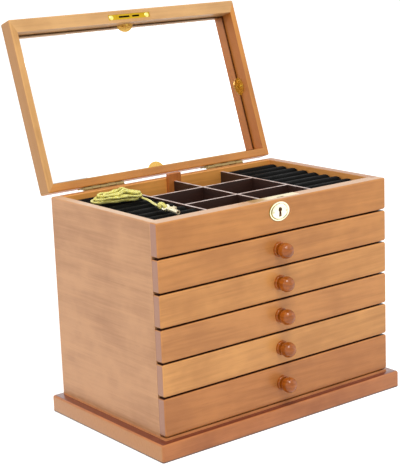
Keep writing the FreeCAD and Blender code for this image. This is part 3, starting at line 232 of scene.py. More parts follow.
def stained(node, tone, along="X", in_lid=False, seed=0, figure=1.0, mottle=1.0,
            end_grain_sheen_tone=None, top_lighting_tone=None, flank_lighting_tone=None, polish=0.0, dark_edges=None):
    """Stained and lacquered board: growth rings cut flat, fibres, pores, blotches, and edges
    lightened for wear and painted highlight.

    Ends, the upper face and the left-hand face can have tones of their own: end grain with a painted
    sheen on the ends, and painted light on the upper face and the left-hand face.
    Dark edges are those that face a gap between drawer fronts, painted with shade: both, or the
    lower one alone.
    """
    f = Finish("stained_" + node)
    spin = (OPEN, 0.0, 0.0) if in_lid else (0.0, 0.0, 0.0)
    turned = f.node("Mapping", None, {"Vector": f.place(), "Rotation": spin})
    split = f.node("SeparateXYZ", None, {"Vector": turned})
    axes = [split.of(letter) for letter in "XYZ"]
    low, high = corners(node, in_lid)
    length, width, depth = (axes["XYZ".index(letter)] for letter in GRAIN_ORDER[along])

    draw = random.Random(seed)
    shift = draw.uniform(-5, 5)
    middle = [(a + b) / 2 for a, b in zip(low, high)]
    face_middle = [middle["XYZ".index(letter)] for letter in GRAIN_ORDER[along]]
    lane = f.pack(length * 3.0 + shift, width * 22.0, depth * 22.0)
    wander = f.noise(lane, 1.0, 2.0) - 0.5
    rise = (length - face_middle[0]) * draw.choice((-0.09, 0.07, 0.11))
    across = width - (face_middle[1] + draw.uniform(-0.012, 0.012)) + wander * 0.012
    deep = rise + (depth - face_middle[2]) + draw.uniform(0.035, 0.06)
    rings = ((across * across + deep * deep) ** 0.5) * 330.0
    ring = rings.maths("SINE", rings * 2.0) * 0.5 + 0.5
    latewood = (ring ** 3.0) * figure

    fibre = f.noise(f.pack(length * 9.0, width * 420.0 + shift, depth * 420.0), 1.0, 4.0, 0.65)
    streak = f.noise(f.pack(length * 4.0, width * 95.0, depth * 95.0 + shift), 1.0, 2.0)
    pits = f.noise(f.pack(length * 60.0, width * 1500.0, depth * 1500.0), 1.0, 1.0)
    pore = f.smooth(pits, 0.64, 0.74)
    blotch = f.noise(f.pack(axes[0] * 17.0 + shift, axes[1] * 17.0, axes[2] * 21.0), 1.0, 3.0, 0.55)

    light = tuple(min(1.0, part * 1.16) for part in tone[:3]) + (1.0,)
    dark = (tone[0] * 0.66, tone[1] * 0.56, tone[2] * 0.46, 1.0)
    colour = f.mix(light, dark, (fibre - 0.5) * 0.75 + (streak - 0.5) * 0.9 + 0.36)
    colour = f.mix(colour, dark, latewood * 0.2)
    colour = f.mix(colour, dark, f.smooth(blotch, 0.48, 0.72) * 0.42 * mottle)
    colour = f.mix(colour, light, f.smooth(blotch, 0.52, 0.3) * 0.6 * mottle)
    colour = f.mix(colour, dark, pore * 0.3)

    reach = edge_reach(axes, low, high)
    # Edges lighter in random patches: partly wear, partly painted highlight on the rounded edges
    patches = f.smooth(f.noise(f.place(), 55.0, 2.0), 0.3, 0.7)
    worn_and_lit_edge = (1.0 - f.smooth(reach, EDGE_WEAR_LIGHT_FULL, EDGE_WEAR_LIGHT_END)) * patches
    colour = f.mix(colour, light, worn_and_lit_edge * 0.55)
    facing = f.node("SeparateXYZ", None, {"Vector": f.node("TexCoord", output="Normal")})
    coat = 0.18 if in_lid else 0.4
    if dark_edges:
        colour = gap_shaded(f, colour, dark, axes, low, facing.of("Z"), dark_edges)
    if end_grain_sheen_tone is not None:
        # End faces: end grain with a painted sheen
        end = f.smooth(abs(facing.of(GRAIN_ORDER[along][0])), 0.75, 0.95)
        speckle = f.noise(f.pack(axes[0] * 60.0, axes[1] * 900.0, axes[2] * 240.0), 1.0, 2.0)
        end_colour = f.mix(end_grain_sheen_tone, dark, (speckle - 0.35) * 0.5)
        colour = f.mix(colour, end_colour, end)
    if flank_lighting_tone is not None:
        # The left-facing face: painted light, a lighter or darker copy of the wood
        side = f.smooth(facing.of("X") * -1.0, 0.75, 0.95)
        flank_colour = f.mix(flank_lighting_tone, dark, (fibre - 0.3) * 0.6 + (streak - 0.5) * 0.6)
        colour = f.mix(colour, flank_colour, side)
    if node == "lid_front_rail":
        # Painted shade inside the strike plate's recess
        colour = f.mix(colour, RECESS_SHADE_TONE, recess_shade(f, axes, low, high))
    if top_lighting_tone is not None:
        # The upper face: painted light, a pale highlight, or on the plinth painted shade
        top = f.smooth(facing.of("Z"), 0.93, 0.995)
        colour = f.mix(colour, f.mix(top_lighting_tone, dark, (fibre - 0.4) * 0.5), top)
        coat = top * polish + 0.4
    if node == "plinth":
        # Painted contact shadow along the plinth's lowest millimetres
        colour = f.mix(CONTACT_SHADOW_TONE, colour, f.smooth(axes[2], CONTACT_FULL, CONTACT_END))

    height = fibre * 0.5 + latewood * 0.25 - pore * 0.9
    return f.surface(
        Base_Color=colour,
        Roughness=fibre * 0.16 + 0.42,
        Specular_IOR_Level=0.3,
        Normal=f.bump(height, 0.00008, 0.5),
        Coat_Weight=coat,
        Coat_Roughness=0.08 if polish else 0.2,
        Coat_IOR=1.5,
    )


def turned_wood(name, tone, seed):
    """Glossy turned wood, with its grain running through the knob from front to back."""
    f = Finish(name)
    split = f.node("SeparateXYZ", None, {"Vector": f.place()})
    x, y, z = (split.of(letter) for letter in "XYZ")
    rings = f.noise(f.pack(x * 90.0 + seed, y * 9.0, z * 400.0), 1.0, 3.0, 0.6)
    cloud = f.noise(f.place(), 70.0, 2.0)
    dark = (tone[0] * 0.5, tone[1] * 0.42, tone[2] * 0.35, 1.0)
    light = tuple(min(1.0, part * 1.3) for part in tone[:3]) + (1.0,)
    colour = f.mix(light, dark, (rings - 0.5) * 1.6 + (cloud - 0.5) * 0.8 + 0.4)
    return f.surface(
        Base_Color=colour,
        Roughness=0.36,
        Specular_IOR_Level=0.1,
        Normal=f.bump(rings, 0.00006, 0.4),
        Coat_Weight=0.7,
        Coat_Roughness=0.06,
    )


def plain_wood(name, tone, along, gloss=0.5):
    """Sanded wood of the hidden parts, with a plain straight grain."""
    f = Finish(name)
    split = f.node("SeparateXYZ", None, {"Vector": f.place()})
    length, width, depth = (split.of(letter) for letter in GRAIN_ORDER[along])
    fibre = f.noise(f.pack(length * 8.0, width * 380.0, depth * 380.0), 1.0, 4.0, 0.6)
    band = f.noise(f.pack(length * 3.0, width * 60.0, depth * 60.0), 1.0, 2.0)
    dark = (tone[0] * 0.6, tone[1] * 0.52, tone[2] * 0.45, 1.0)
    light = tuple(min(1.0, part * 1.2) for part in tone[:3]) + (1.0,)
    colour = f.mix(light, dark, (fibre - 0.5) * 0.9 + (band - 0.5) * 1.0 + 0.4)
    return f.surface(
        Base_Color=colour,
        Roughness=fibre * 0.2 + gloss,
        Normal=f.bump(fibre, 0.0001, 0.5),
    )


def dark_wood(name, along):
    """Dark stained dividers, with a painted pale reflection on their top faces."""
    f = Finish(name)
    split = f.node("SeparateXYZ", None, {"Vector": f.place()})
    length, width, depth = (split.of(letter) for letter in GRAIN_ORDER[along])
    fibre = f.noise(f.pack(length * 8.0, width * 380.0, depth * 380.0), 1.0, 4.0, 0.6)
    facing = f.node("SeparateXYZ", None, {"Vector": f.node("TexCoord", output="Normal")})
    top = f.smooth(facing.of("Z"), 0.6, 0.9)
    sheen_patches = f.smooth(f.noise(f.place(), 90.0, 3.0), 0.25, 0.65)
    wall = f.mix(tint(66, 38, 28), tint(30, 16, 12), fibre * 1.4 - 0.2)
    # Painted reflection on the top faces, patchy
    edge = f.mix(tint(166, 132, 120), tint(214, 194, 186), sheen_patches)
    return f.surface(
        Base_Color=f.mix(wall, edge, top),
        Roughness=fibre * 0.2 + 0.34,
        Normal=f.bump(fibre, 0.00008, 0.4),
    )


def velvet(name, shade):
    """Short velvet pile: nearly black where it faces the eye, with a soft rim of light."""
    f = Finish(name)
    nap = f.noise(f.place(), 2600.0, 2.0, 0.6)
    brushed = f.noise(f.place(), 38.0, 3.0, 0.6)
    pale = tuple(part * 2.2 for part in shade[:3]) + (1.0,)
    colour = f.mix(shade, pale, f.smooth(brushed, 0.42, 0.75) * 0.7 + (nap - 0.5) * 0.6)
    return f.surface(
        Base_Color=colour,
        Roughness=0.5,
        Specular_IOR_Level=0.02,
        Sheen_Weight=0.03,
        Sheen_Roughness=0.3,
        Sheen_Tint=(0.55, 0.55, 0.52, 1.0),
        Normal=f.bump(nap + brushed * 2.0, 0.00025, 0.7),
    )


def metal(name, tone, roughness, clouding=0.6, dots=0.0, plating=1.0):
    """Polished plated metal: fine scratches, faint clouding and, on stamped work, small dots."""
    f = Finish(name)
    scratch = f.noise(f.place(), 900.0, 3.0)
    cloud = f.noise(f.place(), 160.0, 3.0, 0.6)
    dark = (tone[0] * 0.62, tone[1] * 0.52, tone[2] * 0.4, 1.0)
    height = scratch * 0.15
    colour = f.mix(tone, dark, f.smooth(cloud, 0.5, 0.8) * clouding)
    if dots:
        cells = f.node("TexVoronoi", None, {"Vector": f.place(), "Scale": dots})
        stamped = f.smooth(cells, 0.5, 0.15)
        height = height + stamped
        colour = f.mix(dark, colour, stamped * 0.6 + 0.4)
    return f.surface(
        Base_Color=colour,
        Metallic=plating,
        Roughness=cloud * 0.14 * clouding + roughness,
        Normal=f.bump(height, 0.0002, 0.35),
    )


def plate_brass(spot, half):
    """Cream-gold plate with painted shade in its groove and round its edge, heavier towards the
    lower left, and darker at its pins.
    """
    f = Finish("cream_keyhole_plate")
    split = f.node("SeparateXYZ", None, {"Vector": f.place()})
    across = (split.of("X") - spot.x) * (1 / half.x)
    upward = (split.of("Z") - spot.z) * (1 / half.z)
    out = (across * across + upward * upward) ** 0.5
    cloud = f.noise(f.place(), 150.0, 2.0)
    # Painted shade: a cloudy gradient that deepens towards the lower left
    shade = f.smooth(cloud - across * 0.16 - upward * 0.1, 0.36, 0.6)
    # Painted shade in the groove
    groove = f.smooth(abs(out - 0.8), 0.075, 0.02) * (shade * 0.75 + 0.2)
    edge = f.smooth(out, 0.93, 0.985) * (shade * 0.8 + 0.2)
    pins = f.smooth(abs(abs(across) - 0.65) + abs(upward) * 0.75, 0.16, 0.08) * 0.45
    painted_plate_shade = groove.maths("MAXIMUM", groove.maths("MAXIMUM", groove, edge), pins)
    return f.surface(
        Base_Color=f.mix(tint(253, 248, 218), tint(140, 122, 34), painted_plate_shade),
        Metallic=1.0,
        Roughness=cloud * 0.08 + 0.2,
        Normal=f.bump(f.noise(f.place(), 900.0, 3.0), 0.0002, 0.1),
    )


SELVAGE_LOW, SELVAGE_HIGH = 245.5 * MM, 247.0 * MM


def lock_brass():
    """Pale selvage plate on top, and below it painted shade, near-black, where the lock case shows
    in the keyhole.
    """
    f = Finish("lock_case")
    split = f.node("SeparateXYZ", None, {"Vector": f.place()})
    top = f.smooth(split.of("Z"), SELVAGE_LOW, SELVAGE_HIGH)
    cloud = f.noise(f.place(), 120.0, 3.0, 0.6)
    golden = f.smooth(split.of("X") + cloud * 0.02, 6.0 * MM, -8.0 * MM)
    plate = f.mix(tint(244, 228, 184), tint(206, 172, 92), golden)
    # Painted shade below the selvage
    return f.surface(
        Base_Color=f.mix(tint(46, 38, 32), plate, top),
        Metallic=1.0,
        Roughness=cloud * 0.12 + 0.24,
        Normal=f.bump(f.noise(f.place(), 900.0, 3.0), 0.0002, 0.3),
    )


MIRROR_RIM, MIRROR_RIM_END = 0.8 * MM, 1.3 * MM
MIRROR_LINE, MIRROR_LINE_END = 2.0 * MM, 2.7 * MM


def mirror_silver():
    """Silvered glass, with a dark rim under its edge and a pale line of glass inside that."""
    f = Finish("mirror_silver")
    turned = f.node("Mapping", None, {"Vector": f.place(), "Rotation": (OPEN, 0.0, 0.0)})
    split = f.node("SeparateXYZ", None, {"Vector": turned})
    low, high = corners("mirror", True)
    axes = [split.of(letter) for letter in "XY"]
    gaps = [(b - a) / 2 - abs(wire - (a + b) / 2) for wire, a, b in zip(axes, low, high)]
    reach = gaps[0].maths("MINIMUM", gaps[0], gaps[1])
    cloud = f.noise(f.place(), 30.0, 2.0)
    silver = (0.99, 0.99, 0.99, 1.0)
    glass = f.mix(tint(176, 166, 148), silver, f.smooth(reach, MIRROR_LINE, MIRROR_LINE_END))
    colour = f.mix(tint(70, 44, 34), glass, f.smooth(reach, MIRROR_RIM, MIRROR_RIM_END))
    return f.surface(
        Base_Color=colour,
        Metallic=1.0,
        Roughness=cloud * 0.006,
    )


PLIES = 3


def gold_thread():
    """Twisted metallic thread: filaments wind along each ply, and grooves lie between the plies,
    with painted glints and painted shade in the grooves.
    """
    f = Finish("gold_thread")
    along = f.node("SeparateXYZ", None, {"Vector": f.node("TexCoord", output="UV")})
    stripe = along.of("X") * 1500.0 + along.of("Y") * 60.0
    filament = stripe.maths("SINE", stripe) * 0.5 + 0.5
    painted_glint = f.noise(f.place(), 700.0, 2.0, 0.7)
    cloud = f.noise(f.place(), 120.0, 2.0)
    # Painted glints
    colour = f.mix(tint(242, 224, 70), tint(255, 252, 160), f.smooth(painted_glint, 0.3, 0.62))
    colour = f.mix(colour, tint(150, 122, 26), filament * 0.12 + f.smooth(cloud, 0.55, 0.8) * 0.25)
    # Painted shade in the grooves between the plies
    round_ply = along.of("Y") * (PLIES * math.pi) + math.pi / 2
    groove = 1.0 - abs(round_ply.maths("SINE", round_ply))
    colour = f.mix(colour, tint(92, 70, 12), f.smooth(groove, 0.55, 0.95) * 0.75)
    return f.surface(
        Base_Color=colour,
        Metallic=0.15,
        Roughness=0.42,
        Sheen_Weight=0.2,
        Normal=f.bump(filament + painted_glint * 0.6, 0.00012, 0.6),
    )


def wear(obj, material):
    """Give every material slot of a piece the one finish."""
    if not obj.data.materials:
        obj.data.materials.append(material)
    for slot in obj.material_slots:
        slot.material = material


# Stage, light and camera

CAMERA_SPOT = Vector((-0.93049, -1.19079, 0.54933))
CAMERA_TURN, CAMERA_RISE, CAMERA_ROLL = -37.501, 13.151, -2.181
FOCAL_PIXELS = 1377.74
PHOTO_WIDTH, PHOTO_HEIGHT = 400, 465
CENTRE_PIXEL = (209.727, 233.898)


def make_camera():
    turn, rise, roll = (math.radians(a) for a in (CAMERA_TURN, CAMERA_RISE, CAMERA_ROLL))
    flat = Vector((math.sin(turn), -math.cos(turn), 0)) * math.cos(rise)
    back = flat + Vector((0, 0, math.sin(rise)))
    level = Vector((0, 0, 1)).cross(back).normalized()
    upward = back.cross(level)
    right = math.cos(roll) * level + math.sin(roll) * upward
    up = back.cross(right)
    data = bpy.data.cameras.new("camera")
    camera = bpy.data.objects.new("camera", data)
    turned = Matrix((right, up, back)).transposed().to_4x4()
    camera.matrix_world = Matrix.Translation(CAMERA_SPOT) @ turned
    data.sensor_width = 36.0
    data.lens = FOCAL_PIXELS / PHOTO_HEIGHT * data.sensor_width
    data.shift_x = (PHOTO_WIDTH / 2 - CENTRE_PIXEL[0]) / PHOTO_HEIGHT
    data.shift_y = (CENTRE_PIXEL[1] - PHOTO_HEIGHT / 2) / PHOTO_HEIGHT
    scene.collection.objects.link(camera)
    scene.camera = camera


# Name, place, edge in metres and power in watts
LAMPS = (
    ("top_box", (-0.45, -0.85, 1.75), 0.8, 16.0),
    ("right_box", (1.6, -1.3, 0.9), 1.2, 4.0),
    ("left_box", (-1.6, 0.3, 0.8), 1.0, 5.0),
)
LAMP_AIM = Vector((0, 0, 0.13))


def soft_box(name, spot, size, power):
    """A square lamp that faces the chest."""
    data = bpy.data.lights.new(name, "AREA")
    data.shape = "SQUARE"
    data.size = size
    data.energy = power
    lamp = bpy.data.objects.new(name, data)
    lamp.location = spot
    way = LAMP_AIM - Vector(spot)
    lamp.rotation_euler = way.to_track_quat("-Z", "Y").to_euler()
    scene.collection.objects.link(lamp)


# The world's strength as light and as seen, and the floor's own glow, also only as seen
WORLD_LIGHT = 0.62
WORLD_SEEN = 1.12
FLOOR_LIFT = 0.62
FLOOR_HALF = 6.0


def make_stage():
    world = bpy.data.worlds.new("studio")
    world.use_nodes = True
    scene.world = world
    tree = world.node_tree
    rays = tree.nodes.new("ShaderNodeLightPath")
    seen = add_rays(tree, rays)
    level = tree.nodes.new("ShaderNodeMapRange")
    level.inputs["To Min"].default_value = WORLD_LIGHT
    level.inputs["To Max"].default_value = WORLD_SEEN
    tree.links.new(seen, level.inputs["Value"])
    tree.links.new(level.outputs[0], tree.nodes["Background"].inputs["Strength"])
    tree.nodes["Background"].inputs["Color"].default_value = (1, 1, 1, 1)

    bm = bmesh.new()
    bmesh.ops.create_grid(bm, x_segments=1, y_segments=1, size=FLOOR_HALF)
    floor = piece(bm, "floor")
    f = Finish("floor_paper")
    rays = f.tree.nodes.new("ShaderNodeLightPath")
    seen = Wire(f, add_rays(f.tree, rays))
    grain = f.noise(f.place(), 220.0, 2.0)
    f.surface(
        Base_Color=f.mix(tint(238, 238, 238), tint(232, 232, 231), grain),
        Roughness=0.9,
        Specular_IOR_Level=0.1,
        Emission_Color=(1, 1, 1, 1),
        Emission_Strength=seen * FLOOR_LIFT,
    )
    wear(floor, f.material)


def add_rays(tree, rays):
    """1 for camera, mirror and glass rays, and 0 for the light that falls on things."""
    total = rays.outputs["Is Camera Ray"]
    for name in ("Is Glossy Ray", "Is Transmission Ray"):
        node = tree.nodes.new("ShaderNodeMath")
        node.operation = "MAXIMUM"
        tree.links.new(total, node.inputs[0])
        tree.links.new(rays.outputs[name], node.inputs[1])
        total = node.outputs[0]
    return total


# Making pieces


def piece(bm, name, smooth=False):
    """Turn a bmesh into an object of the scene."""
    for face in bm.faces:
        face.smooth = smooth
    mesh = bpy.data.meshes.new(name)
    bm.to_mesh(mesh)
    bm.free()
    obj = bpy.data.objects.new(name, mesh)
    scene.collection.objects.link(obj)
    return obj


def add_block(bm, size, middle):
    """Add a box, and give its eight corners."""
    made = bmesh.ops.create_cube(bm, size=1.0)["verts"]
    bmesh.ops.scale(bm, vec=size, verts=made)
    bmesh.ops.translate(bm, vec=middle, verts=made)
    return made


def round_edges(bm, edges, radius, segments):
    """Round some edges off, with the radius measured along the faces."""
    bmesh.ops.bevel(bm, geom=edges, offset=radius, segments=segments, profile=0.5,
                    affect="EDGES", material=-1)


def shown_mesh(obj):
    """The mesh of an object with its modifiers applied."""
    depsgraph = bpy.context.evaluated_depsgraph_get()
    return bpy.data.meshes.new_from_object(obj.evaluated_get(depsgraph))


def apply_modifiers(obj):
    mesh = shown_mesh(obj)
    obj.modifiers.clear()
    obj.data = mesh


# Cord

CORD_THICK = 2.6 * MM
CORD_TWIST = 6.5 * MM
STEPS_A_PLY = 7

# The way from the hank's end to the key, as in the part's source
CORD_ROUTE = [
    (-0.0899, 0.0236, 0.2481),
    (-0.09161, 0.0189, 0.2481),
    (-0.0920, 0.0090, 0.2481),
    (-0.1004, -0.0134, 0.2481),
    (-0.1077, -0.0301, 0.2495),
    (-0.1086, -0.0375, 0.2511),
]

# The hank: its turn, first bend, straight runs, layer height and shift, and its loops' radii
HANK_TURN = math.radians(-20)
HANK_BEND = 10.4 * MM
HANK_RUN = 33.0 * MM
HANK_STEP = 3.1 * MM
LAYER_SHIFT = 2.6 * MM
LAYER_HUMP = 1.9 * MM
HANK_LOOPS = (8.85 * MM, 7.3 * MM, 5.75 * MM, 4.2 * MM)
BEND_ANGLES = (22.5, 67.5, 112.5, 157.5)
RUN_SHARES = (0.14, 0.38, 0.62, 0.86)
HUMP_SPOT, HUMP_HALF = 9 * MM, 6 * MM


def hank_points():
    """Control points of the loops, from the hank's right side to its inner end."""
    draw = random.Random(11)
    start = Vector(CORD_ROUTE[0])
    right, left = start.x - HANK_BEND, start.x - HANK_BEND - HANK_RUN
    y, z = start.y + CORD_THICK + HANK_BEND, start.z
    half_step = math.cos(math.radians(BEND_ANGLES[0]))
    corner = HANK_BEND / half_step
    centre = Vector((right, start.y + CORD_THICK, z))
    points = []
    for angle in BEND_ANGLES[:2]:
        turn = math.radians(angle)
        points.append(centre + Vector((math.cos(turn), math.sin(turn), 0)) * corner)
    outward = [size + 0.25 * HANK_STEP for size in reversed(HANK_LOOPS)]
    for layer, sizes in enumerate((HANK_LOOPS, outward, HANK_LOOPS)):
        left += layer * LAYER_SHIFT
        for index, size in enumerate(sizes):
            way = -1 if index % 2 == 0 else 1
            begin, end = (right, left) if way < 0 else (left, right)
            climb = HANK_STEP if layer and index == 0 else 0.0
            for share in RUN_SHARES:
                sway = draw.uniform(-2.1, 2.1)
                wave = Vector((0, sway, draw.uniform(-0.3, 2.2) * (layer > 0))) * MM
                x = begin + (end - begin) * share
                hump = math.exp(-((x - right + HUMP_SPOT) / HUMP_HALF) ** 2)
                lift = hump * layer * LAYER_HUMP + climb * (share > 0.5)
                points.append(Vector((x, y, z + lift)) + wave)
            z += climb
            stretch = draw.uniform(-0.8, 1.6) * MM + (size - HANK_LOOPS[-1]) * 0.5 * (way < 0)
            arc_middle = Vector((end + way * stretch, y + way * size, z))
            reach = size / half_step
            for angle in BEND_ANGLES:
                turn = math.radians(angle)
                swing = Vector((math.sin(turn), -math.cos(turn), 0)) * reach * way
                points.append(arc_middle + swing + Vector((0, 0, draw.uniform(-0.12, 0.4) * MM)))
            y += way * 2 * size
    points.append(Vector((right - HANK_RUN * 0.2, y, z)))
    points.append(Vector((right - HANK_RUN * 0.5, y, z)))
    turned = Matrix.Rotation(HANK_TURN, 3, "Z")
    return [start + turned @ (point - start) for point in points]


def spline(name, points):
    """A smooth open curve with the points as its control points."""
    data = bpy.data.curves.new(name, "CURVE")
    data.dimensions = "3D"
    data.resolution_u = 10
    line = data.splines.new("NURBS")
    line.points.add(len(points) - 1)
    for knot, spot in zip(line.points, points):
        knot.co = (*spot, 1.0)
    line.order_u = 3
    line.use_endpoint_u = True
    return bpy.data.objects.new(name, data)


def line_of(curve):
    """The points of a curve that has no bevel."""
    mesh = bpy.data.meshes.new_from_object(curve)
    points = [vertex.co.copy() for vertex in mesh.vertices]
    bpy.data.meshes.remove(mesh)
    return points


def twisted(name, points, thick, twist_length):
    """A cord of plies twisted together, along a smooth curve. Gives its mesh piece and its line."""
    curve = spline(name + "_line", points)
    line = line_of(curve)
    run = 0.0
    knots = curve.data.splines[0].points
    knots[0].tilt = 0.0
    for before, knot in zip(knots, knots[1:]):
        run += (knot.co.xyz - before.co.xyz).length
        knot.tilt = run / twist_length * math.tau
    section = bpy.data.curves.new(name + "_section", "CURVE")
    section.dimensions = "2D"
    outline = section.splines.new("POLY")
    steps = PLIES * STEPS_A_PLY
    outline.points.add(steps - 1)
    for index, knot in enumerate(outline.points):
        angle = math.tau * index / steps
        radius = thick / 2 * (0.76 + 0.34 * abs(math.cos(angle * PLIES / 2)))
        knot.co = (radius * math.cos(angle), radius * math.sin(angle), 0, 1)
    outline.use_cyclic_u = True
    section_object = bpy.data.objects.new(name + "_section", section)
    scene.collection.objects.link(section_object)
    scene.collection.objects.link(curve)
    curve.data.bevel_mode = "OBJECT"
    curve.data.bevel_object = section_object
    curve.data.use_fill_caps = True
    mesh = shown_mesh(curve)
    mesh.name = name
    cord = bpy.data.objects.new(name, mesh)
    scene.collection.objects.link(cord)
    for polygon in mesh.polygons:
        polygon.use_smooth = True
    bpy.data.objects.remove(curve)
    bpy.data.objects.remove(section_object)
    return cord, line


# The key's lie, as in the part's source
KEY_TURN, KEY_DIP, KEY_ROLL = (math.radians(angle) for angle in (-95.0, 3.0, -60.0))
BOW_SPOT = Vector((-0.1094, -0.0469, 0.2506))
BOW_RADIUS = 3.4 * MM

# The loop round the key's bow and the knot that ties it
TIE_TWIST = 6 * MM
LOOP_THICK = 2.3 * MM
LOOP_RADIUS = 3.4 * MM
LOOP_SPREAD = 1.15 * MM
LOOP_START, LOOP_SWEEP, LOOP_STEPS = -165, 690, 24
KNOT_THICK = 2.5 * MM
KNOT_RADIUS = 2.7 * MM
KNOT_WIDTH = 5.4 * MM
KNOT_TURNS, STEPS_A_TURN = 3, 12


def key_turn():
    turned = Matrix.Rotation(KEY_TURN, 3, "Z") @ Matrix.Rotation(KEY_DIP, 3, "Y")
    return turned @ Matrix.Rotation(KEY_ROLL, 3, "X")


def make_cord():
    """The cord with its hank, and the loop and knot that tie it to the key."""
    thread = gold_thread()
    loops = hank_points()
    loops.reverse()
    points = loops + [Vector(spot) for spot in CORD_ROUTE[1:]]
    cord, line = twisted("gold_cord", points, CORD_THICK, CORD_TWIST)
    wear(cord, thread)
    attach(cord, "chest")
    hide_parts("cord_hank", "cord_strand")

    turned = key_turn()
    back = turned @ Vector((-1, 0, 0))
    side = turned @ Vector((0, 1, 0))
    loop_middle = BOW_SPOT + back * BOW_RADIUS
    knot_spot = loop_middle + back * (LOOP_RADIUS + CORD_THICK / 2)
    wire_way = back.cross(side).normalized()
    around = []
    for index in range(LOOP_STEPS + 1):
        angle = math.radians(LOOP_START + LOOP_SWEEP * index / LOOP_STEPS)
        out = (math.cos(angle) * -back + math.sin(angle) * side) * LOOP_RADIUS * 1.04
        aside = wire_way * (index / LOOP_STEPS * 2 - 1) * LOOP_SPREAD
        around.append(loop_middle + out + aside)
    tail = knot_spot - side * 3.4 * MM + back * 4.6 * MM - Vector((0, 0, 1.6 * MM))
    way_round = [knot_spot + back * MM, *around, knot_spot, tail]
    loop, _ = twisted("key_loop", way_round, LOOP_THICK, TIE_TWIST)
    coil = []
    for index in range(KNOT_TURNS * STEPS_A_TURN + 1):
        angle = math.tau * index / STEPS_A_TURN
        out = (math.cos(angle) * side + math.sin(angle) * wire_way) * KNOT_RADIUS
        share = index / (KNOT_TURNS * STEPS_A_TURN)
        coil.append(knot_spot + out + back * (share - 0.5) * KNOT_WIDTH)
    knot, _ = twisted("cord_knot", coil, KNOT_THICK, TIE_TWIST)
    for tie in (loop, knot):
        wear(tie, thread)
        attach(tie, "chest")
    length = sum((b - a).length for a, b in zip(line, line[1:]))


# Soft rolls for rings

# Sizes of the rolls, and how far under their top the cloth is pinned and the base begins
ROLLS = 9
ROLL_HEIGHT = 17.5 * MM
ROLL_GAP = 3.0 * MM
ROLL_ROUND = 7.2 * MM
END_GAP = 0.8 * MM
ROLL_TOP_DROP = 0.9 * MM
PIN_DEPTH = 14 * MM
BASE_DEPTH = 15.5 * MM
LONG_EDGE = 30 * MM
ROLL_VOXEL = 1.5 * MM
SMOOTHINGS = 3
SETTLE_FRAMES = 16
SETTLE_PRESSURE = 3.0
SETTLE_CAP = 1.1 * MM


def settle(obj, frames, pressure, cap, pinned):
    """Blow a closed soft piece up a little as cloth, no point moving more than the cap."""
    start = [vertex.co.copy() for vertex in obj.data.vertices]
    cloth = obj.modifiers.new("Cloth", "CLOTH")
    cloth.settings.quality = 5
    cloth.settings.mass = 0.2
    cloth.settings.tension_stiffness = 8
    cloth.settings.compression_stiffness = 8
    cloth.settings.bending_stiffness = 0.3
    cloth.settings.use_pressure = True
    cloth.settings.uniform_pressure_force = pressure
    cloth.settings.effector_weights.gravity = 0
    cloth.settings.vertex_group_mass = pinned
    cloth.point_cache.frame_start = 1
    cloth.point_cache.frame_end = frames
    for number in range(1, frames + 1):
        scene.frame_set(number)
    moved = shown_mesh(obj)
    spots = [vertex.co.copy() for vertex in moved.vertices]
    obj.modifiers.clear()
    scene.frame_set(1)
    for vertex, before, after in zip(obj.data.vertices, start, spots):
        way = after - before
        if way.length > cap:
            way = way.normalized() * cap
        vertex.co = before + way


def make_ring_pad(side, cloth):
    """Nine stuffed velvet rolls on one base."""
    node = f"ring_pad_{side}"
    low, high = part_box(node)
    pitch = (high.y - low.y) / ROLLS
    draw = random.Random(3 if side == "left" else 4)
    bm = bmesh.new()
    size = (high.x - low.x - 2 * END_GAP, pitch - ROLL_GAP, ROLL_HEIGHT)
    level = high.z - ROLL_TOP_DROP - ROLL_HEIGHT / 2
    for number in range(ROLLS):
        middle = Vector(((low.x + high.x) / 2, low.y + (number + 0.5) * pitch, 0))
        middle.z = level + draw.uniform(-0.9, 0.2) * MM
        made = add_block(bm, size, middle)
        upper = [vert for vert in made if vert.co.z > level]
        edges = [edge for edge in bm.edges if edge.verts[0] in upper and edge.verts[1] in upper]
        long_top = [edge for edge in edges if edge.calc_length() > LONG_EDGE]
        round_edges(bm, long_top, ROLL_ROUND, 6)
    rolls = piece(bm, f"ring_rolls_{side}", smooth=True)
    remesh = rolls.modifiers.new("Remesh", "REMESH")
    remesh.mode = "VOXEL"
    remesh.voxel_size = ROLL_VOXEL
    apply_modifiers(rolls)
    held = rolls.vertex_groups.new(name="held")
    floor = high.z - PIN_DEPTH
    held.add([vert.index for vert in rolls.data.vertices if vert.co.z < floor], 1.0, "REPLACE")
    settle(rolls, SETTLE_FRAMES, SETTLE_PRESSURE, SETTLE_CAP, "held")
    bm = bmesh.new()
    bm.from_mesh(rolls.data)
    for _ in range(SMOOTHINGS):
        bmesh.ops.smooth_vert(bm, verts=bm.verts, factor=0.5,
                              use_axis_x=True, use_axis_y=True, use_axis_z=True)
    base_high = Vector((high.x, high.y, high.z - BASE_DEPTH))
    add_block(bm, base_high - low, (low + base_high) / 2)
    for face in bm.faces:
        face.smooth = True
    bm.to_mesh(rolls.data)
    bm.free()
    wear(rolls, cloth)
    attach(rolls, "chest")
    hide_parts(node)


# Plinth


PLINTH_CORNER = 3.2 * MM
PLINTH_UPPER = 2.8 * MM
PLINTH_LOWER = 1.5 * MM


def rim_at(bm, level):
    """The edges that lie level at one height."""
    on_level = {vert for vert in bm.verts if abs(vert.co.z - level) < 0.1 * MM}
    return [edge for edge in bm.edges if all(vert in on_level for vert in edge.verts)]


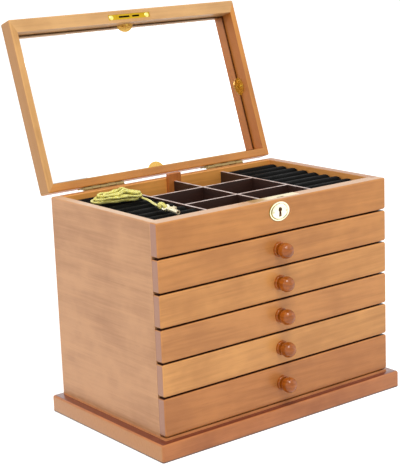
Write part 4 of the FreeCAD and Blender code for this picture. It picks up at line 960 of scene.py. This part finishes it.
def make_plinth(wood):
    """Thick board with rounded corners and a round upper edge."""
    low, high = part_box("plinth")
    bm = bmesh.new()
    add_block(bm, high - low, (low + high) / 2)
    upright = [edge for edge in bm.edges if abs(edge.verts[0].co.z - edge.verts[1].co.z) > MM]
    round_edges(bm, upright, PLINTH_CORNER, 6)
    round_edges(bm, rim_at(bm, low.z), PLINTH_LOWER, 3)
    round_edges(bm, rim_at(bm, high.z), PLINTH_UPPER, 5)
    bmesh.ops.recalc_face_normals(bm, faces=bm.faces)
    board = piece(bm, "rounded_plinth")
    soften(board)
    wear(board, wood)
    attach(board, "chest")
    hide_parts("plinth")


# Drawer linings


LINING_THICK = 1.2 * MM
LINING_ROUND = 1.1 * MM


def make_lining(number, cloth):
    """A velvet-covered tray of card, with soft edges, that fills the drawer."""
    node = f"drawer_{number}_lining"
    low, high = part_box(node)
    bm = bmesh.new()
    add_block(bm, high - low, (low + high) / 2)
    top = [face for face in bm.faces if face.normal.z > 0.9]
    bmesh.ops.inset_region(bm, faces=top, thickness=LINING_THICK, use_even_offset=True)
    sunk = bmesh.ops.extrude_face_region(bm, geom=top)["geom"]
    bmesh.ops.delete(bm, geom=top, context="FACES_ONLY")
    floor = [item for item in sunk if isinstance(item, bmesh.types.BMVert)]
    bmesh.ops.translate(bm, vec=(0, 0, low.z + LINING_THICK - high.z), verts=floor)
    inside = [edge for edge in bm.edges if all(inner(vert.co, low, high) for vert in edge.verts)]
    round_edges(bm, inside, LINING_ROUND, 3)
    bmesh.ops.recalc_face_normals(bm, faces=bm.faces)
    lining = piece(bm, f"velvet_lining_{number}")
    soften(lining)
    wear(lining, cloth)
    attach(lining, f"drawer_{number}")
    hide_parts(node)


def inner(spot, low, high):
    """Whether a point is off the four outer walls of a box."""
    return all(a + 0.1 * MM < value < b - 0.1 * MM for value, a, b in zip(spot[:2], low, high))


# Brass work


def soften(obj, limit=32.0):
    """Smooth shading, with the edges that turn by more than the limit kept sharp."""
    bm = bmesh.new()
    bm.from_mesh(obj.data)
    for face in bm.faces:
        face.smooth = True
    for edge in bm.edges:
        edge.smooth = edge.calc_face_angle(0.0) < math.radians(limit)
    bm.to_mesh(obj.data)
    bm.free()


def cut_away(obj, tool):
    """Cut a tool's shape out of a piece, and throw the tool away."""
    cut = obj.modifiers.new("Cut", "BOOLEAN")
    cut.operation = "DIFFERENCE"
    cut.solver = "EXACT"
    cut.object = tool
    apply_modifiers(obj)
    bpy.data.objects.remove(tool)


PLATE_RIM = 0.45 * MM
# Going inward from the rim, in mm: how wide each ring is and how far it rises
PLATE_RINGS = (
    (0.15, 0.2),
    (0.25, 0.12),
    (1.3, 0.05),
    (0.3, -0.2),
    (0.4, -0.05),
    (0.35, 0.25),
    (0.5, 0.32),
    (0.9, 0.33),
    (1.2, 0.2),
    (1.5, 0.12),
)
KEYHOLE_RADIUS = 2.5 * MM
SLOT_WIDTH, SLOT_TOP_WIDTH = 3.6 * MM, 2.6 * MM
CUT_DEPTH = 12 * MM
PLATE_PIN_RADIUS = 1.15 * MM
PLATE_PIN_OUT, PLATE_PIN_LIFT = 9.2 * MM, 1.35 * MM


def make_keyhole_plate():
    """Domed oval plate: a flat rim, a groove and a swelling middle with the keyhole."""
    low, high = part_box("escutcheon")
    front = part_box("top_front_board")[0].y
    half = (high - low) / 2
    bm = bmesh.new()
    made = bmesh.ops.create_circle(bm, cap_ends=True, segments=80, radius=1.0)["verts"]
    bmesh.ops.scale(bm, vec=(half.x, half.z, 1.0), verts=made)
    top = list(bm.faces)
    wall = bmesh.ops.extrude_face_region(bm, geom=top)["geom"]
    raised = [item for item in wall if isinstance(item, bmesh.types.BMVert)]
    bmesh.ops.translate(bm, vec=(0, 0, PLATE_RIM), verts=raised)
    top = [item for item in wall if isinstance(item, bmesh.types.BMFace)]
    for width, rise in PLATE_RINGS:
        bmesh.ops.inset_region(bm, faces=top, thickness=width * MM, depth=rise * MM,
                               use_even_offset=True)
    upright = Matrix.Rotation(math.radians(90), 4, "X")
    spot = Vector(((low.x + high.x) / 2, front, (low.z + high.z) / 2))
    bmesh.ops.transform(bm, matrix=Matrix.Translation(spot) @ upright, verts=bm.verts)
    bmesh.ops.recalc_face_normals(bm, faces=bm.faces)
    plate = piece(bm, "keyhole_plate")

    bm = bmesh.new()
    bmesh.ops.create_cone(bm, cap_ends=True, segments=40, radius1=KEYHOLE_RADIUS,
                          radius2=KEYHOLE_RADIUS, depth=CUT_DEPTH)
    hole = Vector((LOCK_X, front, PIN_HEIGHT))
    bmesh.ops.transform(bm, matrix=Matrix.Translation(hole) @ upright, verts=bm.verts)
    cut_away(plate, piece(bm, "round_hole"))
    bm = bmesh.new()
    made = add_block(bm, (SLOT_WIDTH, CUT_DEPTH, KEYHOLE_DROP), (0, 0, 0))
    upper = [vert for vert in made if vert.co.z > 0]
    bmesh.ops.scale(bm, vec=(SLOT_TOP_WIDTH / SLOT_WIDTH, 1, 1), verts=upper)
    bmesh.ops.translate(bm, vec=hole - Vector((0, 0, KEYHOLE_DROP / 2)), verts=made)
    cut_away(plate, piece(bm, "slot"))

    bm = bmesh.new()
    bm.from_mesh(plate.data)
    for side in (-1, 1):
        made = bmesh.ops.create_uvsphere(bm, u_segments=20, v_segments=12, radius=PLATE_PIN_RADIUS)
        dome = made["verts"]
        bmesh.ops.scale(bm, vec=(1, 0.5, 1), verts=dome)
        out = Vector((side * PLATE_PIN_OUT, -PLATE_PIN_LIFT, 0))
        bmesh.ops.translate(bm, vec=spot + out, verts=dome)
    bm.to_mesh(plate.data)
    bm.free()
    soften(plate, 40.0)
    wear(plate, plate_brass(spot, half))
    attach(plate, "chest")
    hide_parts("escutcheon")


# The mirror's opening and face, in the closed lid's own frame from the hinge line
MIRROR_SPAN = ((-152.0 * MM, 152.0 * MM), (-186.0 * MM, -11.9 * MM))
MIRROR_FACE = 16.6 * MM
CLIP_HALF = 11.5 * MM
CLIP_LIP, CLIP_LEG = 8.0 * MM, 8.5 * MM
CLIP_FRONT = 3.0 * MM
CLIP_SIDE = -94.9 * MM
CLIP_THICK = 0.4 * MM
# Going inward from a clip's edge, in mm: how wide each ring is and how far it rises
CLIP_RINGS = (
    (0.35, 0.0),
    (0.25, 0.3),
    (0.35, 0.1),
    (0.35, -0.1),
    (0.25, -0.3),
    (0.8, 0.0),
    (1.2, 0.12),
)


def make_clips(brass):
    """Four stamped clips: a leaf shape with a beaded border, folded along its middle."""
    bm = bmesh.new()
    for way, reach in ((-1, CLIP_LIP), (1, CLIP_LEG)):
        radius = (CLIP_HALF ** 2 + reach ** 2) / (2 * reach)
        made = bmesh.ops.create_circle(bm, cap_ends=True, segments=96, radius=radius)["verts"]
        bmesh.ops.translate(bm, vec=(0, way * (reach - radius), 0), verts=made)
        edges = {edge for vert in made for edge in vert.link_edges}
        faces = {face for vert in made for face in vert.link_faces}
        bmesh.ops.bisect_plane(bm, geom=[*made, *edges, *faces], plane_co=(0, 0, 0),
                               plane_no=(0, way, 0), clear_inner=True)
    bmesh.ops.remove_doubles(bm, verts=bm.verts, dist=0.02 * MM)
    fold = [edge for edge in bm.edges if len(edge.link_faces) == 2]
    bmesh.ops.dissolve_edges(bm, edges=fold)
    for width, rise in CLIP_RINGS:
        field = max(bm.faces, key=lambda face: face.calc_area())
        bmesh.ops.inset_region(bm, faces=[field], thickness=width * MM, depth=rise * MM,
                               use_even_offset=True)
    geom = [*bm.verts, *bm.edges, *bm.faces]
    bmesh.ops.bisect_plane(bm, geom=geom, plane_co=(0, 0, 0), plane_no=(0, 1, 0))
    bmesh.ops.rotate(bm, cent=(0, 0, 0), matrix=Matrix.Rotation(math.pi, 3, "X"), verts=bm.verts)
    leg = [vert for vert in bm.verts if vert.co.y < -0.01 * MM]
    bmesh.ops.rotate(bm, cent=(0, 0, 0), matrix=Matrix.Rotation(math.pi / 2, 3, "X"), verts=leg)
    clip = piece(bm, "clip")
    shell = clip.modifiers.new("Thickness", "SOLIDIFY")
    shell.thickness = CLIP_THICK
    shell.offset = 1.0
    shell.use_even_offset = True
    apply_modifiers(clip)

    (left, right), (near, far) = MIRROR_SPAN
    places = (
        (CLIP_FRONT, near, 0),
        (right, CLIP_SIDE, 90),
        (0.0, far, 180),
        (left, CLIP_SIDE, -90),
    )
    bm = bmesh.new()
    for x, y, turn in places:
        before = set(bm.verts)
        bm.from_mesh(clip.data)
        spot = Matrix.Translation((x, y, MIRROR_FACE)) @ Matrix.Rotation(math.radians(turn), 4, "Z")
        added = [vert for vert in bm.verts if vert not in before]
        bmesh.ops.transform(bm, matrix=LID_PLACE @ spot, verts=added)
    bpy.data.objects.remove(clip)
    clips = piece(bm, "stamped_clips")
    soften(clips, 45.0)
    wear(clips, brass)
    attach(clips, "lid")
    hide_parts("mirror_clips")


# Finishes on the boards

# The side panels' tone is paler than the fronts' for a painted sheen; the top tone is a painted
# highlight on upper faces; the end tone is end grain with a painted sheen
SIDE_TONE_WITH_SHEEN = tint(196, 144, 99)
INNER_TONE = tint(196, 126, 58)
TOP_HIGHLIGHT_TONE = tint(208, 163, 122)
END_GRAIN_SHEEN = tint(173, 126, 103)
KNOB_TONE = tint(164, 88, 18)
VELVET_SHADE = (0.0034, 0.0034, 0.0032, 1.0)
DRAWERS = range(1, 6)


def finish_boards():
    fronts = {
        "top_front_board": tint(198, 132, 66),
        "drawer_1_front": tint(202, 137, 72),
        "drawer_2_front": tint(209, 146, 80),
        "drawer_3_front": tint(201, 137, 75),
        "drawer_4_front": tint(212, 151, 85),
        "drawer_5_front": tint(192, 125, 65),
    }
    for seed, (node, tone) in enumerate(fronts.items()):
        top = seed == 0
        board = stained(node, tone, "X", seed=seed, end_grain_sheen_tone=END_GRAIN_SHEEN,
                        top_lighting_tone=TOP_HIGHLIGHT_TONE if top else None, dark_edges="lower" if top else "both")
        wear(nodes[node], board)
    # Each side panel: painted light on its upper face, then on its left-facing face
    sides = {
        "side_left": (tint(217, 177, 140), None),
        "side_right": (tint(176, 118, 70), tint(224, 152, 76)),
    }
    for seed, (node, (top_lighting_tone, flank_lighting_tone)) in enumerate(sides.items(), start=20):
        board = stained(node, SIDE_TONE_WITH_SHEEN, "Y", seed=seed, figure=0.5, mottle=1.1,
                        top_lighting_tone=top_lighting_tone, flank_lighting_tone=flank_lighting_tone)
        wear(nodes[node], board)
    # The back panel's upper face has painted light
    back = stained("back_panel", tint(232, 160, 78), "X", seed=23, figure=0.7, mottle=0.8,
                   top_lighting_tone=tint(196, 130, 70))
    wear(nodes["back_panel"], back)
    wear(nodes["bottom_board"], stained("bottom_board", tint(206, 136, 82), "X", seed=27))
    rail = stained("inner_front_rail", INNER_TONE, "X", seed=25, top_lighting_tone=TOP_HIGHLIGHT_TONE)
    wear(nodes["inner_front_rail"], rail)
    wear(nodes["lid_guide_block"], stained("lid_guide_block", tint(186, 108, 46), "Z", seed=26))
    # Each lid board: grain direction, tone, and painted light on its left-facing face
    lid = {
        "lid_front_rail": ("X", tint(210, 163, 106), None),
        "lid_rear_rail": ("X", tint(200, 135, 63), None),
        "lid_stile_left": ("Y", tint(210, 160, 98), tint(188, 136, 84)),
        "lid_stile_right": ("Y", tint(202, 134, 58), tint(178, 104, 34)),
        "lid_top_board": ("X", tint(200, 140, 76), tint(188, 136, 84)),
    }
    for seed, (node, (along, tone, flank_lighting_tone)) in enumerate(lid.items(), start=30):
        wear(nodes[node], stained(node, tone, along, in_lid=True, seed=seed, flank_lighting_tone=flank_lighting_tone))
    # The plinth's top is painted dark for the shade the case casts on it, and its ends paler for a
    # painted sheen
    make_plinth(stained("plinth", tint(182, 113, 61), "X", seed=24, mottle=1.3,
                        end_grain_sheen_tone=tint(192, 134, 82), top_lighting_tone=tint(112, 48, 28), polish=0.5))


def finish_rest():
    inner_boards = plain_wood("sanded_boards", tint(196, 150, 104), "X")
    for node in ["dust_panels"] + [f"drawer_{number}_box" for number in DRAWERS]:
        wear(nodes[node], inner_boards)
    dark_across = dark_wood("dark_stained_across", "X")
    dark_along = dark_wood("dark_stained_along", "Y")
    for node in ("cross_divider_front", "cross_divider_rear"):
        wear(nodes[node], dark_across)
    for node in ("divider_left", "divider_middle", "divider_right"):
        wear(nodes[node], dark_along)
    wear(nodes["tray_floor"], plain_wood("dark_floor", tint(44, 26, 20), "X", 0.35))
    for number in DRAWERS:
        knob_wood = turned_wood(f"turned_{number}", KNOB_TONE, number * 3.7)
        wear(nodes[f"drawer_{number}_knob"], knob_wood)

    aged_brass = metal("aged_brass", tint(158, 136, 92), 0.38)
    for node in nodes:
        if node.startswith("hinge_"):
            wear(nodes[node], aged_brass)
    for node in ("clip_nails", "strike_screws"):
        wear(nodes[node], metal(node + "_brass", tint(238, 222, 124), 0.25))
    wear(nodes["strike_plate"], metal("gold_strike", tint(186, 150, 34), 0.32))
    wear(nodes["lock_body"], lock_brass())
    wear(nodes["lock_hook"], metal("lock_steel", (0.6, 0.6, 0.6, 1.0), 0.25))
    wear(nodes["key"], metal("pale_key_brass", tint(252, 246, 212), 0.2, 0.3, plating=0.6))
    wear(nodes["mirror"], mirror_silver())


make_camera()
make_stage()
for lamp_values in LAMPS:
    soft_box(*lamp_values)
scene.view_settings.view_transform = "Standard"

make_cord()
finish_rest()
finish_boards()
make_keyhole_plate()
make_clips(metal("stamped_gold", tint(216, 178, 98), 0.24, 0.5, dots=900.0))
black_velvet = velvet("black_velvet", VELVET_SHADE)
for drawer in DRAWERS:
    make_lining(drawer, black_velvet)
for side in ("left", "right"):
    make_ring_pad(side, black_velvet)
